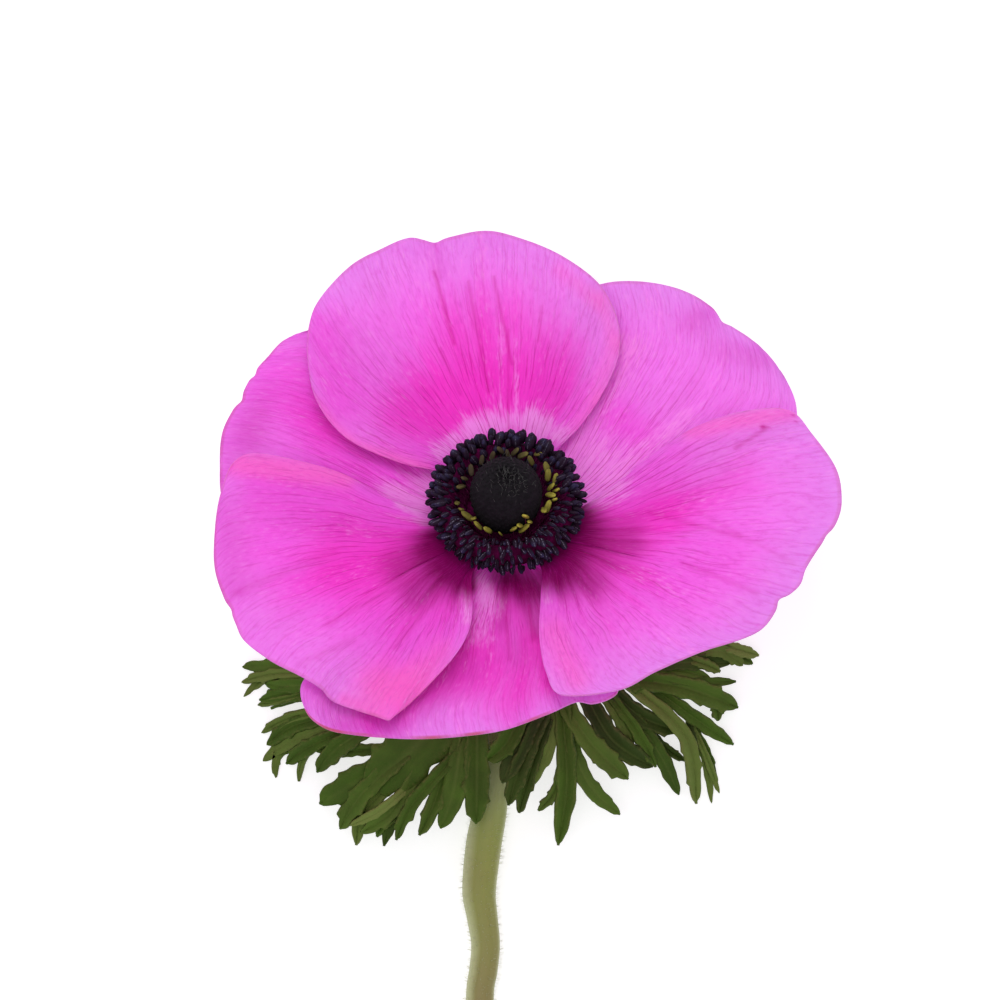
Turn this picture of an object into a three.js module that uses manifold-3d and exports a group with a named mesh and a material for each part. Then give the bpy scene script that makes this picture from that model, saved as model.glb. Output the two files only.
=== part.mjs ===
// A single cut anemone flower, laid down on a table with its open face up.
// Millimetres, +Z up. The stem lies along -Y and the origin is on the table,
// in the middle of the flower's bounding box.

import * as THREE from "three";
import { mergeVertices } from "three/addons/utils/BufferGeometryUtils.js";
import Module from "manifold-3d";

const wasm = await Module();
wasm.setup();

// ---------------------------------------------------------------- sizes

const BLOOM_PLACE = new THREE.Vector2(-2.84, 38.7); // the bloom's middle in the flower's frame
const BLOOM_HEIGHT = 14.05; // the petals' roots above the table
const BLOOM_TILT = THREE.MathUtils.degToRad(32); // the bloom's axis leans this far towards +Y

const PETAL_THICKNESS = 0.7;
const PETAL_ROOT_RADIUS = 4.5;
const PETAL_ROOT_HALF_ANGLE = THREE.MathUtils.degToRad(48);
const PETAL_COLUMNS = 18;
const PETAL_ROWS = 8;
const PETAL_ROW_CROWDING = 1.5; // above 1 the rows draw closer towards the margin
const INNER_LIFT = 0.3; // height of the inner petals' roots along the bloom's axis
const OUTER_LIFT = -1.0;
const BOWL_DEPTH = 6.5; // how far the margin stands above the roots
const BOWL_START = 5; // radius where the petals begin to rise
const BOWL_SPAN = 35;

const RECEPTACLE_RADIUS = 4.2;
const RECEPTACLE_TOP = 1.0;
const RECEPTACLE_BOTTOM = -1.9;
const PISTIL_RADIUS = 4.75;
const PISTIL_BOTTOM = 1.3;
const PISTIL_WIDEST = 6.3; // height of its widest ring
const PISTIL_TOP = 10.8;
const PISTIL_TAPER = 6.9; // below its widest ring it would close at this depth
const PISTIL_BUMP = 0.14; // relief of the carpels

const STEM_SIDES = 10;
const STEM_STEP = 2.6; // length of one stretch of the stem's surface
const STEM_CUT_SLOPE = 0.5; // how far the cut end slants, per unit of height

const NECK_START = 2.4; // from the petals' roots back along the bloom's axis
const NECK_RADIUS = 2.1;

const BRACT_NODE = new THREE.Vector2(-0.5, -13.3); // where the bracts leave the stem
const BRACT_REACH = 34; // from there to the furthest tips
const BRACT_THICKNESS = 0.8;
const BRACT_EDGE = 0.04; // thickness left at a blade's edge where it lies on the table

const WELD = 1e-4; // vertices closer than this are one

const sinTilt = Math.sin(BLOOM_TILT);
const cosTilt = Math.cos(BLOOM_TILT);

// ------------------------------------------------------------ materials

function finish(color, roughness) {
  return new THREE.MeshStandardMaterial({ color, roughness, metalness: 0 });
}

const petalPink = finish(0xe650c8, 0.55);
const stemGreen = finish(0x7d8250, 0.6);
const leafGreen = finish(0x3c4e20, 0.6);
const pistilBlack = finish(0x17121c, 0.8);
const antherInk = finish(0x2a1f2e, 0.7);
const antherOlive = finish(0x8a7d3c, 0.7);

// -------------------------------------------------------------- solids

// A repeatable number from 0 to 1 for each seed
function scatter(seed) {
  const wave = Math.sin(seed * 12.9898) * 43758.5453;
  return wave - Math.floor(wave);
}

function solidGeometry(vertices, triangles) {
  const geometry = new THREE.BufferGeometry();
  geometry.setAttribute("position", new THREE.Float32BufferAttribute(vertices.flatMap((v) => v.toArray()), 3));
  geometry.setIndex(triangles);
  return geometry;
}

// Merges a geometry's shared vertices and drops the triangles that have no area
function weld(geometry) {
  const bare = geometry.clone();
  bare.deleteAttribute("normal");
  bare.deleteAttribute("uv");
  const merged = mergeVertices(bare, WELD);
  const corners = merged.index.array;
  const kept = [];
  for (let i = 0; i < corners.length; i += 3) {
    const [a, b, c] = [corners[i], corners[i + 1], corners[i + 2]];
    if (a !== b && b !== c && c !== a) {
      kept.push(a, b, c);
    }
  }
  merged.setIndex(kept);
  return merged;
}

function toManifold(geometry) {
  const welded = weld(geometry);
  return new wasm.Manifold(
    new wasm.Mesh({
      numProp: 3,
      vertProperties: new Float32Array(welded.attributes.position.array),
      triVerts: new Uint32Array(welded.index.array),
    }),
  );
}

// Joins overlapping solids into one
function fuse(geometries) {
  const joined = geometries.map(toManifold).reduce((whole, piece) => whole.add(piece));
  const mesh = joined.getMesh();
  const geometry = new THREE.BufferGeometry();
  geometry.setAttribute("position", new THREE.BufferAttribute(mesh.vertProperties, 3));
  geometry.setIndex(new THREE.BufferAttribute(mesh.triVerts, 1));
  return geometry;
}

// A solid through rings of equal count, closed by a fan to a point at each end
function loft(rings, start, end) {
  const sides = rings[0].length;
  const vertices = [...rings.flat(), start, end];
  const startIndex = rings.length * sides;
  const endIndex = startIndex + 1;
  const lastRing = (rings.length - 1) * sides;
  const triangles = [];
  for (let side = 0; side < sides; side++) {
    const next = (side + 1) % sides;
    triangles.push(startIndex, next, side);
    triangles.push(endIndex, lastRing + side, lastRing + next);
    for (let ring = 0; ring + 1 < rings.length; ring++) {
      const near = ring * sides;
      const far = near + sides;
      triangles.push(near + side, near + next, far + next);
      triangles.push(near + side, far + next, far + side);
    }
  }
  return solidGeometry(vertices, triangles);
}

// A solid sheet between two like grids of points, topside[row][column] and underside
function sheet(topside, underside) {
  const rows = topside.length;
  const columns = topside[0].length;
  const vertices = [...topside.flat(), ...underside.flat()];
  const below = rows * columns;
  const triangles = [];
  const wall = (a, b) => {
    triangles.push(a, b, b + below);
    triangles.push(a, b + below, a + below);
  };
  for (let row = 0; row + 1 < rows; row++) {
    for (let column = 0; column + 1 < columns; column++) {
      const a = row * columns + column;
      const b = a + 1;
      const c = b + columns;
      const d = a + columns;
      triangles.push(a, b, c, a, c, d);
      triangles.push(a + below, c + below, b + below, a + below, d + below, c + below);
    }
    wall(row * columns, (row + 1) * columns);
    wall((row + 1) * columns + columns - 1, row * columns + columns - 1);
  }
  for (let column = 0; column + 1 < columns; column++) {
    const last = (rows - 1) * columns;
    wall(column + 1, column);
    wall(last + column, last + column + 1);
  }
  return solidGeometry(vertices, triangles);
}

// A solid turned round +Z from a profile of [radius, height] points
function turned(profile, segments) {
  const points = profile.map(([radius, height]) => new THREE.Vector2(radius, height));
  return new THREE.LatheGeometry(points, segments).rotateX(Math.PI / 2);
}

// -------------------------------------------------------------- petals

// In the bloom's own frame, x runs to the right, y up its face and z along its axis.
// Outlines hold [x, y] as seen from straight above the table, round the bloom's
// middle, from one root corner by way of the margin to the other. The shoulders
// are the two outline points where the sides end and the margin begins.
const PETALS = [
  {
    name: "petal_inner_top",
    azimuth: 90,
    lift: INNER_LIFT,
    cup: 1.9,
    ripple: 0.3,
    phase: 0.4,
    shoulders: [4, 17],
    outline: [
      [-7.8, 5.7], [-13.8, 7.2], [-20.6, 10.3], [-24.4, 14.9], [-25.8, 20.3], [-25.6, 25.2],
      [-24.2, 28.6], [-20.3, 32.8], [-16.4, 35.0], [-12.7, 36.5], [-9.4, 36.2], [-3.4, 37.4],
      [0.8, 36.8], [7.0, 34.3], [12.2, 30.4], [14.6, 25.5], [14.6, 21.2], [12.7, 16.5],
      [9.6, 11.9], [6.5, 8.6],
    ],
  },
  {
    name: "petal_inner_left",
    azimuth: 210,
    lift: INNER_LIFT,
    cup: 1.9,
    ripple: 0.3,
    phase: 1.7,
    shoulders: [4, 15],
    outline: [
      [-4.2, -6.8], [-4.3, -11.0], [-4.9, -14.8], [-7.3, -18.6], [-12.2, -23.8], [-15.1, -26.4],
      [-20.9, -23.9], [-26.1, -20.7], [-31.7, -18.2], [-34.6, -14.6], [-36.6, -10.3],
      [-37.8, -6.5], [-37.8, -1.6], [-37.1, 3.0], [-35.6, 6.9], [-32.9, 8.4], [-26.8, 7.4],
      [-20.9, 5.6], [-15.7, 2.7], [-11.2, 0.5], [-7.3, -0.3],
    ],
  },
  {
    name: "petal_inner_right",
    azimuth: 330,
    lift: INNER_LIFT,
    cup: 1.9,
    ripple: 0.35,
    phase: 2.9,
    shoulders: [6, 20],
    outline: [
      [6.5, 0.5], [10.3, 1.7], [14.8, 4.8], [20.0, 9.0], [25.2, 12.1], [31.1, 13.9],
      [36.8, 14.0], [39.8, 10.9], [42.9, 6.4], [43.6, 2.3], [42.9, -0.6], [41.2, -3.0],
      [39.0, -6.4], [38.1, -8.7], [35.8, -10.9], [32.6, -14.8], [25.2, -17.4], [19.4, -19.9],
      [14.6, -22.3], [7.3, -22.9], [5.2, -20.0], [4.3, -15.2], [4.5, -10.0], [4.4, -6.1],
    ],
  },
  {
    name: "petal_outer_left",
    azimuth: 150,
    lift: OUTER_LIFT,
    cup: -0.5,
    ripple: 0.3,
    phase: 0.9,
    shoulders: [4, 12],
    outline: [
      [-7.0, 0.8], [-15.1, -0.5], [-25.5, -1.0], [-33.3, -0.6], [-36.7, 2.1], [-37.2, 6.9],
      [-36.8, 11.4], [-34.6, 15.6], [-33.0, 18.6], [-31.0, 21.0], [-28.8, 23.2], [-25.7, 24.4],
      [-20.9, 25.2], [-15.7, 23.3], [-11.2, 17.9], [-7.7, 10.1], [-4.9, 5.9],
    ],
  },
  {
    name: "petal_outer_right",
    azimuth: 30,
    lift: OUTER_LIFT,
    cup: -0.5,
    ripple: 0.35,
    phase: 2.2,
    shoulders: [3, 11],
    outline: [
      [2.6, 6.3], [3.1, 12.7], [4.4, 21.8], [7.0, 27.7], [12.2, 30.4], [17.4, 30.8],
      [22.6, 29.8], [26.5, 27.7], [28.5, 25.6], [33.0, 22.4], [36.3, 18.2], [37.8, 14.3],
      [37.2, 10.1], [33.7, 6.5], [25.2, 3.6], [14.8, 1.5], [7.3, 0.9],
    ],
  },
  {
    name: "petal_outer_bottom",
    azimuth: 270,
    lift: OUTER_LIFT,
    cup: -0.4,
    ripple: 0.3,
    phase: 1.2,
    shoulders: [4, 15],
    outline: [
      [3.4, -5.2], [7.7, -8.9], [12.2, -13.3], [14.6, -18.5], [14.6, -22.2], [13.3, -23.5],
      [11.2, -24.1], [9.0, -23.9], [5.5, -25.4], [-0.1, -27.4], [-6.0, -28.3], [-12.5, -28.6],
      [-19.6, -28.1], [-23.5, -27.2], [-25.9, -25.0], [-26.4, -21.3], [-22.2, -17.8],
      [-15.1, -13.9], [-7.6, -9.4], [-3.4, -5.2],
    ],
  },
];

// Height of a petal's middle surface along the bloom's axis. across runs from -1 to 1
// between the petal's sides, along from 0 at its root to 1 at its margin.
function petalHeight(petal, radius, across, along) {
  const reach = THREE.MathUtils.clamp((radius - BOWL_START) / BOWL_SPAN, 0, 1);
  const bowl = BOWL_DEPTH * Math.sin((reach * Math.PI) / 2) ** 1.5;
  const cup = petal.cup * across ** 2 * along;
  const ripple = petal.ripple * Math.sin(5 * across + petal.phase) * along ** 2;
  return petal.lift + bowl + cup + ripple;
}

// Lowest height along the bloom's axis that is still on the table
function tableLimit(y) {
  return (y * sinTilt - BLOOM_HEIGHT) / cosTilt;
}

function undersideHeight(petal, x, y, across, along) {
  const height = petalHeight(petal, Math.hypot(x, y), across, along) - PETAL_THICKNESS / 2;
  return Math.max(height, tableLimit(y));
}

// The point of a petal's underside whose middle lies over [x, seenY] from above
function undersidePoint(petal, x, seenY, across, along) {
  const settleSteps = 16;
  let y = seenY / cosTilt;
  let height = 0;
  for (let step = 0; step < settleSteps; step++) {
    height = undersideHeight(petal, x, y, across, along);
    y = (seenY - (height + PETAL_THICKNESS / 2) * sinTilt) / cosTilt;
  }
  return new THREE.Vector3(x, y, height);
}

// A point of the petal's root arc as seen from above, by its part of the way along it
function rootPoint(petal, part) {
  const middle = THREE.MathUtils.degToRad(petal.azimuth);
  const angle = middle + PETAL_ROOT_HALF_ANGLE * (1 - 2 * part);
  const x = PETAL_ROOT_RADIUS * Math.cos(angle);
  const y = PETAL_ROOT_RADIUS * Math.sin(angle);
  return new THREE.Vector2(x, y * cosTilt + petal.lift * sinTilt);
}

// The outline as a curve, and how far along it each of its points lies
function petalOutline(petal) {
  const between = petal.outline.map(([x, y]) => new THREE.Vector2(x, y));
  const points = [rootPoint(petal, 0), ...between, rootPoint(petal, 1)];
  const curve = new THREE.SplineCurve(points);
  const stepsPerPoint = 12;
  curve.arcLengthDivisions = (points.length - 1) * stepsPerPoint;
  const lengths = curve.getLengths();
  const share = (index) => lengths[index * stepsPerPoint] / lengths[lengths.length - 1];
  return { curve, firstShoulder: share(petal.shoulders[0]), secondShoulder: share(petal.shoulders[1]) };
}

// A point of a petal seen from above, blended from its root, sides and margin
function petalPoint(petal, outline, across, along) {
  const { curve, firstShoulder, secondShoulder } = outline;
  const left = curve.getPointAt(firstShoulder * along);
  const right = curve.getPointAt(1 - (1 - secondShoulder) * along);
  const margin = curve.getPointAt(THREE.MathUtils.lerp(firstShoulder, secondShoulder, across));
  const root = rootPoint(petal, across);
  const sides = left.lerp(right, across);
  const ends = root.lerp(margin, along);
  const nearCorners = rootPoint(petal, 0).lerp(rootPoint(petal, 1), across);
  const farCorners = curve.getPointAt(firstShoulder).lerp(curve.getPointAt(secondShoulder), across);
  return sides.add(ends).sub(nearCorners.lerp(farCorners, along));
}

function petalGeometry(petal) {
  const outline = petalOutline(petal);
  const topside = [];
  const underside = [];
  for (let row = 0; row <= PETAL_ROWS; row++) {
    const along = 1 - (1 - row / PETAL_ROWS) ** PETAL_ROW_CROWDING;
    const line = [];
    for (let column = 0; column <= PETAL_COLUMNS; column++) {
      const across = column / PETAL_COLUMNS;
      const seen = petalPoint(petal, outline, across, along);
      line.push(undersidePoint(petal, seen.x, seen.y, 2 * across - 1, along));
    }
    underside.push(line);
    topside.push(line.map((point) => point.clone().add(new THREE.Vector3(0, 0, PETAL_THICKNESS))));
  }
  return sheet(topside, underside);
}

// --------------------------------------------------- middle of the bloom

function pistilGeometry() {
  const segments = 20;
  const ringCount = 9;
  const lastRing = PISTIL_TOP - 0.35;
  const rings = [];
  for (let index = 0; index < ringCount; index++) {
    const height = THREE.MathUtils.lerp(PISTIL_BOTTOM, lastRing, index / (ringCount - 1));
    const reach = height < PISTIL_WIDEST ? PISTIL_TAPER : PISTIL_TOP - PISTIL_WIDEST;
    const radius = PISTIL_RADIUS * Math.sqrt(1 - ((height - PISTIL_WIDEST) / reach) ** 2);
    const ring = [];
    for (let segment = 0; segment < segments; segment++) {
      const angle = (2 * Math.PI * segment) / segments;
      const bump = (index + segment) % 2 === 0 ? PISTIL_BUMP : 0;
      const bumped = radius - bump;
      ring.push(new THREE.Vector3(bumped * Math.cos(angle), bumped * Math.sin(angle), height));
    }
    rings.push(ring);
  }
  return loft(rings, new THREE.Vector3(0, 0, PISTIL_BOTTOM), new THREE.Vector3(0, 0, PISTIL_TOP));
}

// Rows of anthers round the pistil, each a small bead that stands out of the core
function antherBeads(rows, beadLength, beadWidth) {
  const beads = [];
  rows.forEach(({ radius, height, count }, row) => {
    for (let index = 0; index < count; index++) {
      const seed = row * 100 + index;
      const angle = (2 * Math.PI * (index + 0.5 * (row % 2) + 0.25 * scatter(seed))) / count;
      const bead = new THREE.IcosahedronGeometry(beadWidth / 2, 0);
      bead.scale(beadLength / beadWidth, 1, 1);
      bead.rotateZ(angle + 0.9 * (scatter(seed + 0.5) - 0.5));
      const reach = radius + 0.2 * (scatter(seed + 0.3) - 0.5);
      const rise = height + 0.35 * (scatter(seed + 0.7) - 0.5);
      bead.translate(reach * Math.cos(angle), reach * Math.sin(angle), rise);
      beads.push(bead);
    }
  });
  return beads;
}

function outerStamensGeometry() {
  const core = turned([[6.2, 1.8], [8.7, 2.5], [9.1, 3.6], [8.6, 4.8], [7.6, 5.2], [6.5, 5.0], [6.2, 1.8]], 18);
  const rows = [
    { radius: 7.05, height: 5.2, count: 14 },
    { radius: 8.1, height: 5.25, count: 16 },
    { radius: 9.0, height: 4.5, count: 18 },
    { radius: 9.35, height: 3.3, count: 19 },
  ];
  return fuse([core, ...antherBeads(rows, 1.45, 1.25)]);
}

function innerStamensGeometry() {
  const core = turned([[5.05, 1.5], [5.7, 1.5], [5.8, 4.1], [5.5, 4.5], [5.05, 4.0], [5.05, 1.5]], 18);
  return fuse([core, ...antherBeads([{ radius: 5.45, height: 4.55, count: 18 }], 0.75, 0.95)]);
}

// ---------------------------------------------------------------- stem

// Course of the stem: [distance towards -Y, x, radius]. Its height follows by rule.
const STEM_COURSE = [
  [13.3, -0.5, 2.15], [21, -1.4, 2.2], [29, -1.95, 2.2], [37, -2.0, 2.2], [42.5, -2.9, 2.32],
  [48.4, -3.5, 2.2], [51.6, -3.15, 2.02], [55.5, -2.65, 1.88], [59, -2.95, 1.85],
  [62.7, -3.4, 1.82], [75, -3.3, 1.9], [92, -1.9, 1.95], [107, -1.6, 1.95], [115, -1.9, 1.95],
];
const flatShare = Math.cos(Math.PI / STEM_SIDES); // a flat side's distance from the axis
const restHeight = 2.2 * flatShare; // height of the axis where the neck comes down

// The neck bends from the bloom's axis down to the table in one arc
const neckTop = new THREE.Vector2(NECK_START * sinTilt, BLOOM_HEIGHT - NECK_START * cosTilt);
const neckBend = (neckTop.y - restHeight) / (1 - sinTilt);
const touchDown = neckTop.x + neckBend * cosTilt;

function stemHeight(distance, radius) {
  if (distance >= touchDown) {
    return radius * flatShare;
  }
  const back = touchDown - distance;
  return restHeight + neckBend - Math.sqrt(neckBend ** 2 - back ** 2);
}

// The stem's axis and radius at even steps, from inside the receptacle to the cut end
function stemStations() {
  const insideReceptacle = 0.4;
  const top = new THREE.Vector3(0, -insideReceptacle * sinTilt, BLOOM_HEIGHT - insideReceptacle * cosTilt);
  const course = [[neckTop.x, 0, NECK_RADIUS], ...STEM_COURSE];
  const points = course.map(([distance, x, radius]) => new THREE.Vector3(x, -distance, radius));
  const spline = new THREE.CatmullRomCurve3(points);
  const steps = Math.round(spline.getLength() / STEM_STEP);
  const stations = spline.getSpacedPoints(steps).map(({ x, y, z: radius }) => {
    return { centre: new THREE.Vector3(x, y, stemHeight(-y, radius)), radius };
  });
  return [{ centre: top, radius: NECK_RADIUS }, ...stations];
}

function stemGeometry() {
  const up = new THREE.Vector3(0, 0, 1);
  const stations = stemStations();
  const last = stations.length - 1;
  const rings = stations.map(({ centre, radius }, index) => {
    const before = stations[Math.max(index - 1, 0)].centre;
    const after = stations[Math.min(index + 1, last)].centre;
    const heading = after.clone().sub(before);
    if (-centre.y > touchDown) {
      heading.z = 0;
    }
    heading.normalize();
    const side = up.clone().cross(heading).normalize();
    const rise = heading.clone().cross(side);
    const slant = index === last ? STEM_CUT_SLOPE : 0;
    const ring = [];
    for (let corner = 0; corner < STEM_SIDES; corner++) {
      const angle = ((corner + 0.5) * 2 * Math.PI) / STEM_SIDES - Math.PI / 2;
      const point = centre.clone();
      point.addScaledVector(side, radius * Math.cos(angle));
      point.addScaledVector(rise, radius * Math.sin(angle));
      point.addScaledVector(heading, -slant * radius * (1 + Math.sin(angle)));
      ring.push(point);
    }
    return ring;
  });
  const cut = rings[last].reduce((sum, point) => sum.add(point), new THREE.Vector3());
  const tube = loft(rings, stations[0].centre, cut.divideScalar(STEM_SIDES));
  return fuse([tube, receptacleGeometry()]);
}

// The disc that the petals and stamens sit on, narrowing to the stem behind them
function receptacleGeometry() {
  const profile = [
    [0, RECEPTACLE_BOTTOM - 1.6], [1.9, RECEPTACLE_BOTTOM - 1.5], [2.9, RECEPTACLE_BOTTOM - 0.6],
    [RECEPTACLE_RADIUS - 0.3, RECEPTACLE_BOTTOM], [RECEPTACLE_RADIUS, RECEPTACLE_BOTTOM + 0.6],
    [RECEPTACLE_RADIUS, RECEPTACLE_TOP - 0.2], [RECEPTACLE_RADIUS - 0.3, RECEPTACLE_TOP], [0, RECEPTACLE_TOP],
  ];
  const disc = turned(profile, 20);
  disc.rotateX(-BLOOM_TILT);
  disc.translate(0, 0, BLOOM_HEIGHT);
  return disc;
}

// -------------------------------------------------------------- bracts

const nodeHeight = stemHeight(-BRACT_NODE.y, 2.15); // of the stem's axis where the bracts leave it
const sideRoot = nodeHeight + 0.6; // the side bracts leave level with the stem
const overRoot = nodeHeight + 2.85; // the middle bract leaves over it

// Each bract is a leaf cut into strap-shaped lobes. Ribs and lobes hold [x, y] points
// seen from above, round the bloom's middle, from root to tip, and a width.
const BRACTS = [
  {
    name: "bract_left",
    root: sideRoot,
    arch: 3.6,
    droop: 3.8,
    ribs: [
      [[-3.2, -13.6], [-13.8, -17.6], [-25.5, -19.5], 2.2],
      [[-3.3, -14.3], [-13.8, -19.8], [-25.0, -22.4], 2.4],
      [[-3.4, -15.0], [-11.2, -21.6], [-21.5, -25.8], 2.4],
      [[-3.6, -15.6], [-8.5, -20.5], [-16.0, -25.8], 2.0],
    ],
    lobes: [
      [[-22.0, -19.2], [-28.7, -19.0], [-34.3, -19.4], 1.3],
      [[-23.0, -19.4], [-30.0, -20.5], [-34.5, -21.6], 1.1],
      [[-23.5, -19.6], [-30.7, -21.4], [-34.2, -23.3], 1.2],
      [[-20.9, -22.0], [-26.4, -22.2], [-31.2, -21.6], 1.8],
      [[-21.6, -22.2], [-26.8, -22.9], [-32.1, -23.7], 1.6],
      [[-22.0, -22.3], [-27.4, -23.8], [-30.4, -24.7], 1.3],
      [[-19.0, -24.9], [-25.5, -25.6], [-31.9, -28.1], 1.6],
      [[-19.5, -25.2], [-26.1, -27.3], [-31.2, -29.5], 1.6],
      [[-20.0, -25.4], [-26.8, -28.9], [-31.7, -31.7], 1.5],
      [[-19.6, -25.2], [-26.8, -30.2], [-30.0, -33.7], 1.4],
      [[-19.0, -24.8], [-25.0, -30.4], [-27.0, -34.3], 1.5],
      [[-14.5, -25.0], [-20.9, -28.9], [-24.6, -33.1], 1.8],
      [[-14.0, -24.8], [-19.0, -28.6], [-24.7, -29.9], 1.3],
    ],
  },
  {
    name: "bract_middle",
    root: overRoot,
    arch: 2.2,
    droop: 2.6,
    ribs: [
      [[-0.9, -13.6], [-4.7, -20.8], [-12.4, -27.4], 2.8],
      [[-0.5, -13.6], [-3.4, -20.2], [-6.6, -27.0], 2.6],
      [[-0.2, -13.6], [0.2, -19.0], [1.2, -25.0], 2.2],
    ],
    lobes: [
      [[-11.0, -26.0], [-18.3, -32.1], [-24.2, -37.1], 1.8],
      [[-11.2, -26.4], [-17.0, -33.4], [-21.3, -40.4], 1.7],
      [[-11.0, -26.4], [-15.8, -33.2], [-19.6, -42.5], 1.6],
      [[-7.2, -23.7], [-12.2, -33.0], [-20.3, -40.3], 1.2],
      [[-9.0, -25.0], [-13.6, -34.0], [-16.0, -42.5], 2.0],
      [[-6.0, -24.3], [-9.9, -34.1], [-14.4, -41.9], 2.0],
      [[-5.4, -24.3], [-8.6, -34.6], [-10.4, -40.1], 1.4],
      [[-4.6, -23.6], [-5.4, -33.1], [-8.5, -40.3], 1.8],
      [[-2.7, -19.6], [-4.2, -30.5], [-4.0, -39.8], 2.7],
      [[0.4, -20.4], [1.8, -28.0], [-2.3, -31.6], 1.4],
      [[0.8, -21.4], [1.8, -29.5], [-0.5, -34.5], 1.6],
      [[1.0, -22.4], [2.1, -31.0], [0.5, -37.6], 1.6],
    ],
  },
  {
    name: "bract_right",
    root: sideRoot,
    arch: 3.6,
    droop: 3.8,
    ribs: [
      [[2.1, -13.4], [10.0, -16.6], [19.5, -18.6], 2.2],
      [[2.2, -14.0], [9.5, -18.6], [19.0, -21.6], 2.6],
      [[2.1, -14.6], [7.5, -19.6], [15.0, -23.4], 2.6],
      [[1.8, -15.2], [4.4, -19.8], [7.6, -25.2], 2.6],
    ],
    lobes: [
      [[5.4, -22.6], [6.0, -29.5], [1.9, -36.0], 1.8],
      [[6.6, -23.7], [7.7, -32.8], [6.8, -42.5], 2.5],
      [[7.2, -30.0], [5.9, -35.0], [4.3, -38.1], 1.1],
      [[7.0, -24.0], [9.6, -32.4], [14.7, -38.5], 2.2],
      [[7.0, -23.4], [11.4, -29.5], [15.7, -33.9], 2.0],
      [[9.6, -21.4], [15.0, -28.6], [19.4, -32.2], 2.0],
      [[12.4, -22.4], [15.5, -26.3], [16.8, -29.9], 1.7],
      [[13.0, -22.6], [18.7, -28.2], [23.1, -31.7], 1.6],
      [[13.4, -22.6], [18.8, -30.0], [22.6, -35.9], 1.8],
      [[14.2, -21.6], [22.6, -26.3], [29.5, -29.4], 2.1],
      [[16.6, -21.8], [23.6, -28.0], [27.8, -35.6], 1.6],
      [[22.2, -26.6], [25.0, -32.1], [26.5, -37.2], 1.7],
      [[17.4, -21.1], [23.9, -23.0], [30.2, -24.4], 2.3],
      [[17.4, -20.9], [23.9, -21.0], [29.8, -21.4], 1.8],
      [[22.6, -22.4], [25.5, -24.3], [27.6, -26.3], 1.3],
      [[17.4, -18.3], [23.9, -18.2], [29.1, -18.7], 1.6],
      [[17.7, -18.0], [26.5, -16.5], [32.8, -17.9], 1.6],
    ],
  },
];

function bractHeight(bract, x, y) {
  const reach = Math.hypot(x - BRACT_NODE.x, y - BRACT_NODE.y) / BRACT_REACH;
  return bract.root + bract.arch * Math.sin(Math.PI * reach) - bract.droop * reach ** 2;
}

// A blade with a ridge above and below, along a curve through three points. Its far end
// rises by lift from the bract's own height, and it tapers to a point or stays broad.
function bladeGeometry(bract, [root, middle, tip, width], lift, pointed) {
  const stations = 6;
  const seen = new THREE.SplineCurve([root, middle, tip].map(([x, y]) => new THREE.Vector2(x, y)));
  const heightAt = (place, along) => Math.max(bractHeight(bract, place.x, place.y) + lift * along, 0);
  const rings = [];
  for (let station = 0; station < stations; station++) {
    const along = station / (pointed ? stations : stations - 1);
    const place = seen.getPoint(along);
    const heading = seen.getTangent(along);
    const bulge = pointed ? 0.5 + 0.5 * Math.sin(Math.PI * along ** 0.8) : 1 - 0.25 * along;
    const right = heading.y * bulge * (width / 2);
    const forward = -heading.x * bulge * (width / 2);
    const height = heightAt(place, along);
    const underside = Math.max(height - BRACT_THICKNESS / 2, 0);
    rings.push([
      new THREE.Vector3(place.x, place.y, height + BRACT_THICKNESS / 2),
      new THREE.Vector3(place.x + right, place.y + forward, height + BRACT_EDGE),
      new THREE.Vector3(place.x, place.y, underside),
      new THREE.Vector3(place.x - right, place.y - forward, height + BRACT_EDGE),
    ]);
  }
  const endPoint = (along) => {
    const place = seen.getPoint(along);
    return new THREE.Vector3(place.x, place.y, heightAt(place, along) + BRACT_EDGE);
  };
  return loft(rings, endPoint(0), endPoint(1));
}

function bractGeometry(bract) {
  const ribs = bract.ribs.map((rib, index) => bladeGeometry(bract, rib, 0.1 * index, false));
  const lobes = bract.lobes.map((lobe, index) => bladeGeometry(bract, lobe, 0.9 * Math.sin(2.4 * index), true));
  return fuse([...ribs, ...lobes]);
}

// ------------------------------------------------------------- assembly

const flower = new THREE.Group();
flower.position.set(BLOOM_PLACE.x, BLOOM_PLACE.y, 0);

function place(parent, name, geometry, material) {
  const mesh = new THREE.Mesh(weld(geometry), material);
  mesh.name = name;
  parent.add(mesh);
}

place(flower, "stem", stemGeometry(), stemGreen);
BRACTS.forEach((bract) => place(flower, bract.name, bractGeometry(bract), leafGreen));

const bloom = new THREE.Group();
bloom.position.z = BLOOM_HEIGHT;
bloom.rotation.x = -BLOOM_TILT;
flower.add(bloom);
PETALS.forEach((petal) => place(bloom, petal.name, petalGeometry(petal), petalPink));
place(bloom, "pistil", pistilGeometry(), pistilBlack);
place(bloom, "outer_stamens", outerStamensGeometry(), antherInk);
place(bloom, "inner_stamens", innerStamensGeometry(), antherOlive);

export default flower;
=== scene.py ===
"""A cut anemone flower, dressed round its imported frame.

Lengths in the tables are millimetres, as in the part's source. The bloom's own frame has
x to the right, y up its face and z along its axis. Outlines, lobes and stains are given
as seen from straight above the table, round the bloom's middle.
"""

import math
import random

import bpy
import numpy as np
from mathutils import Matrix, Vector


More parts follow.
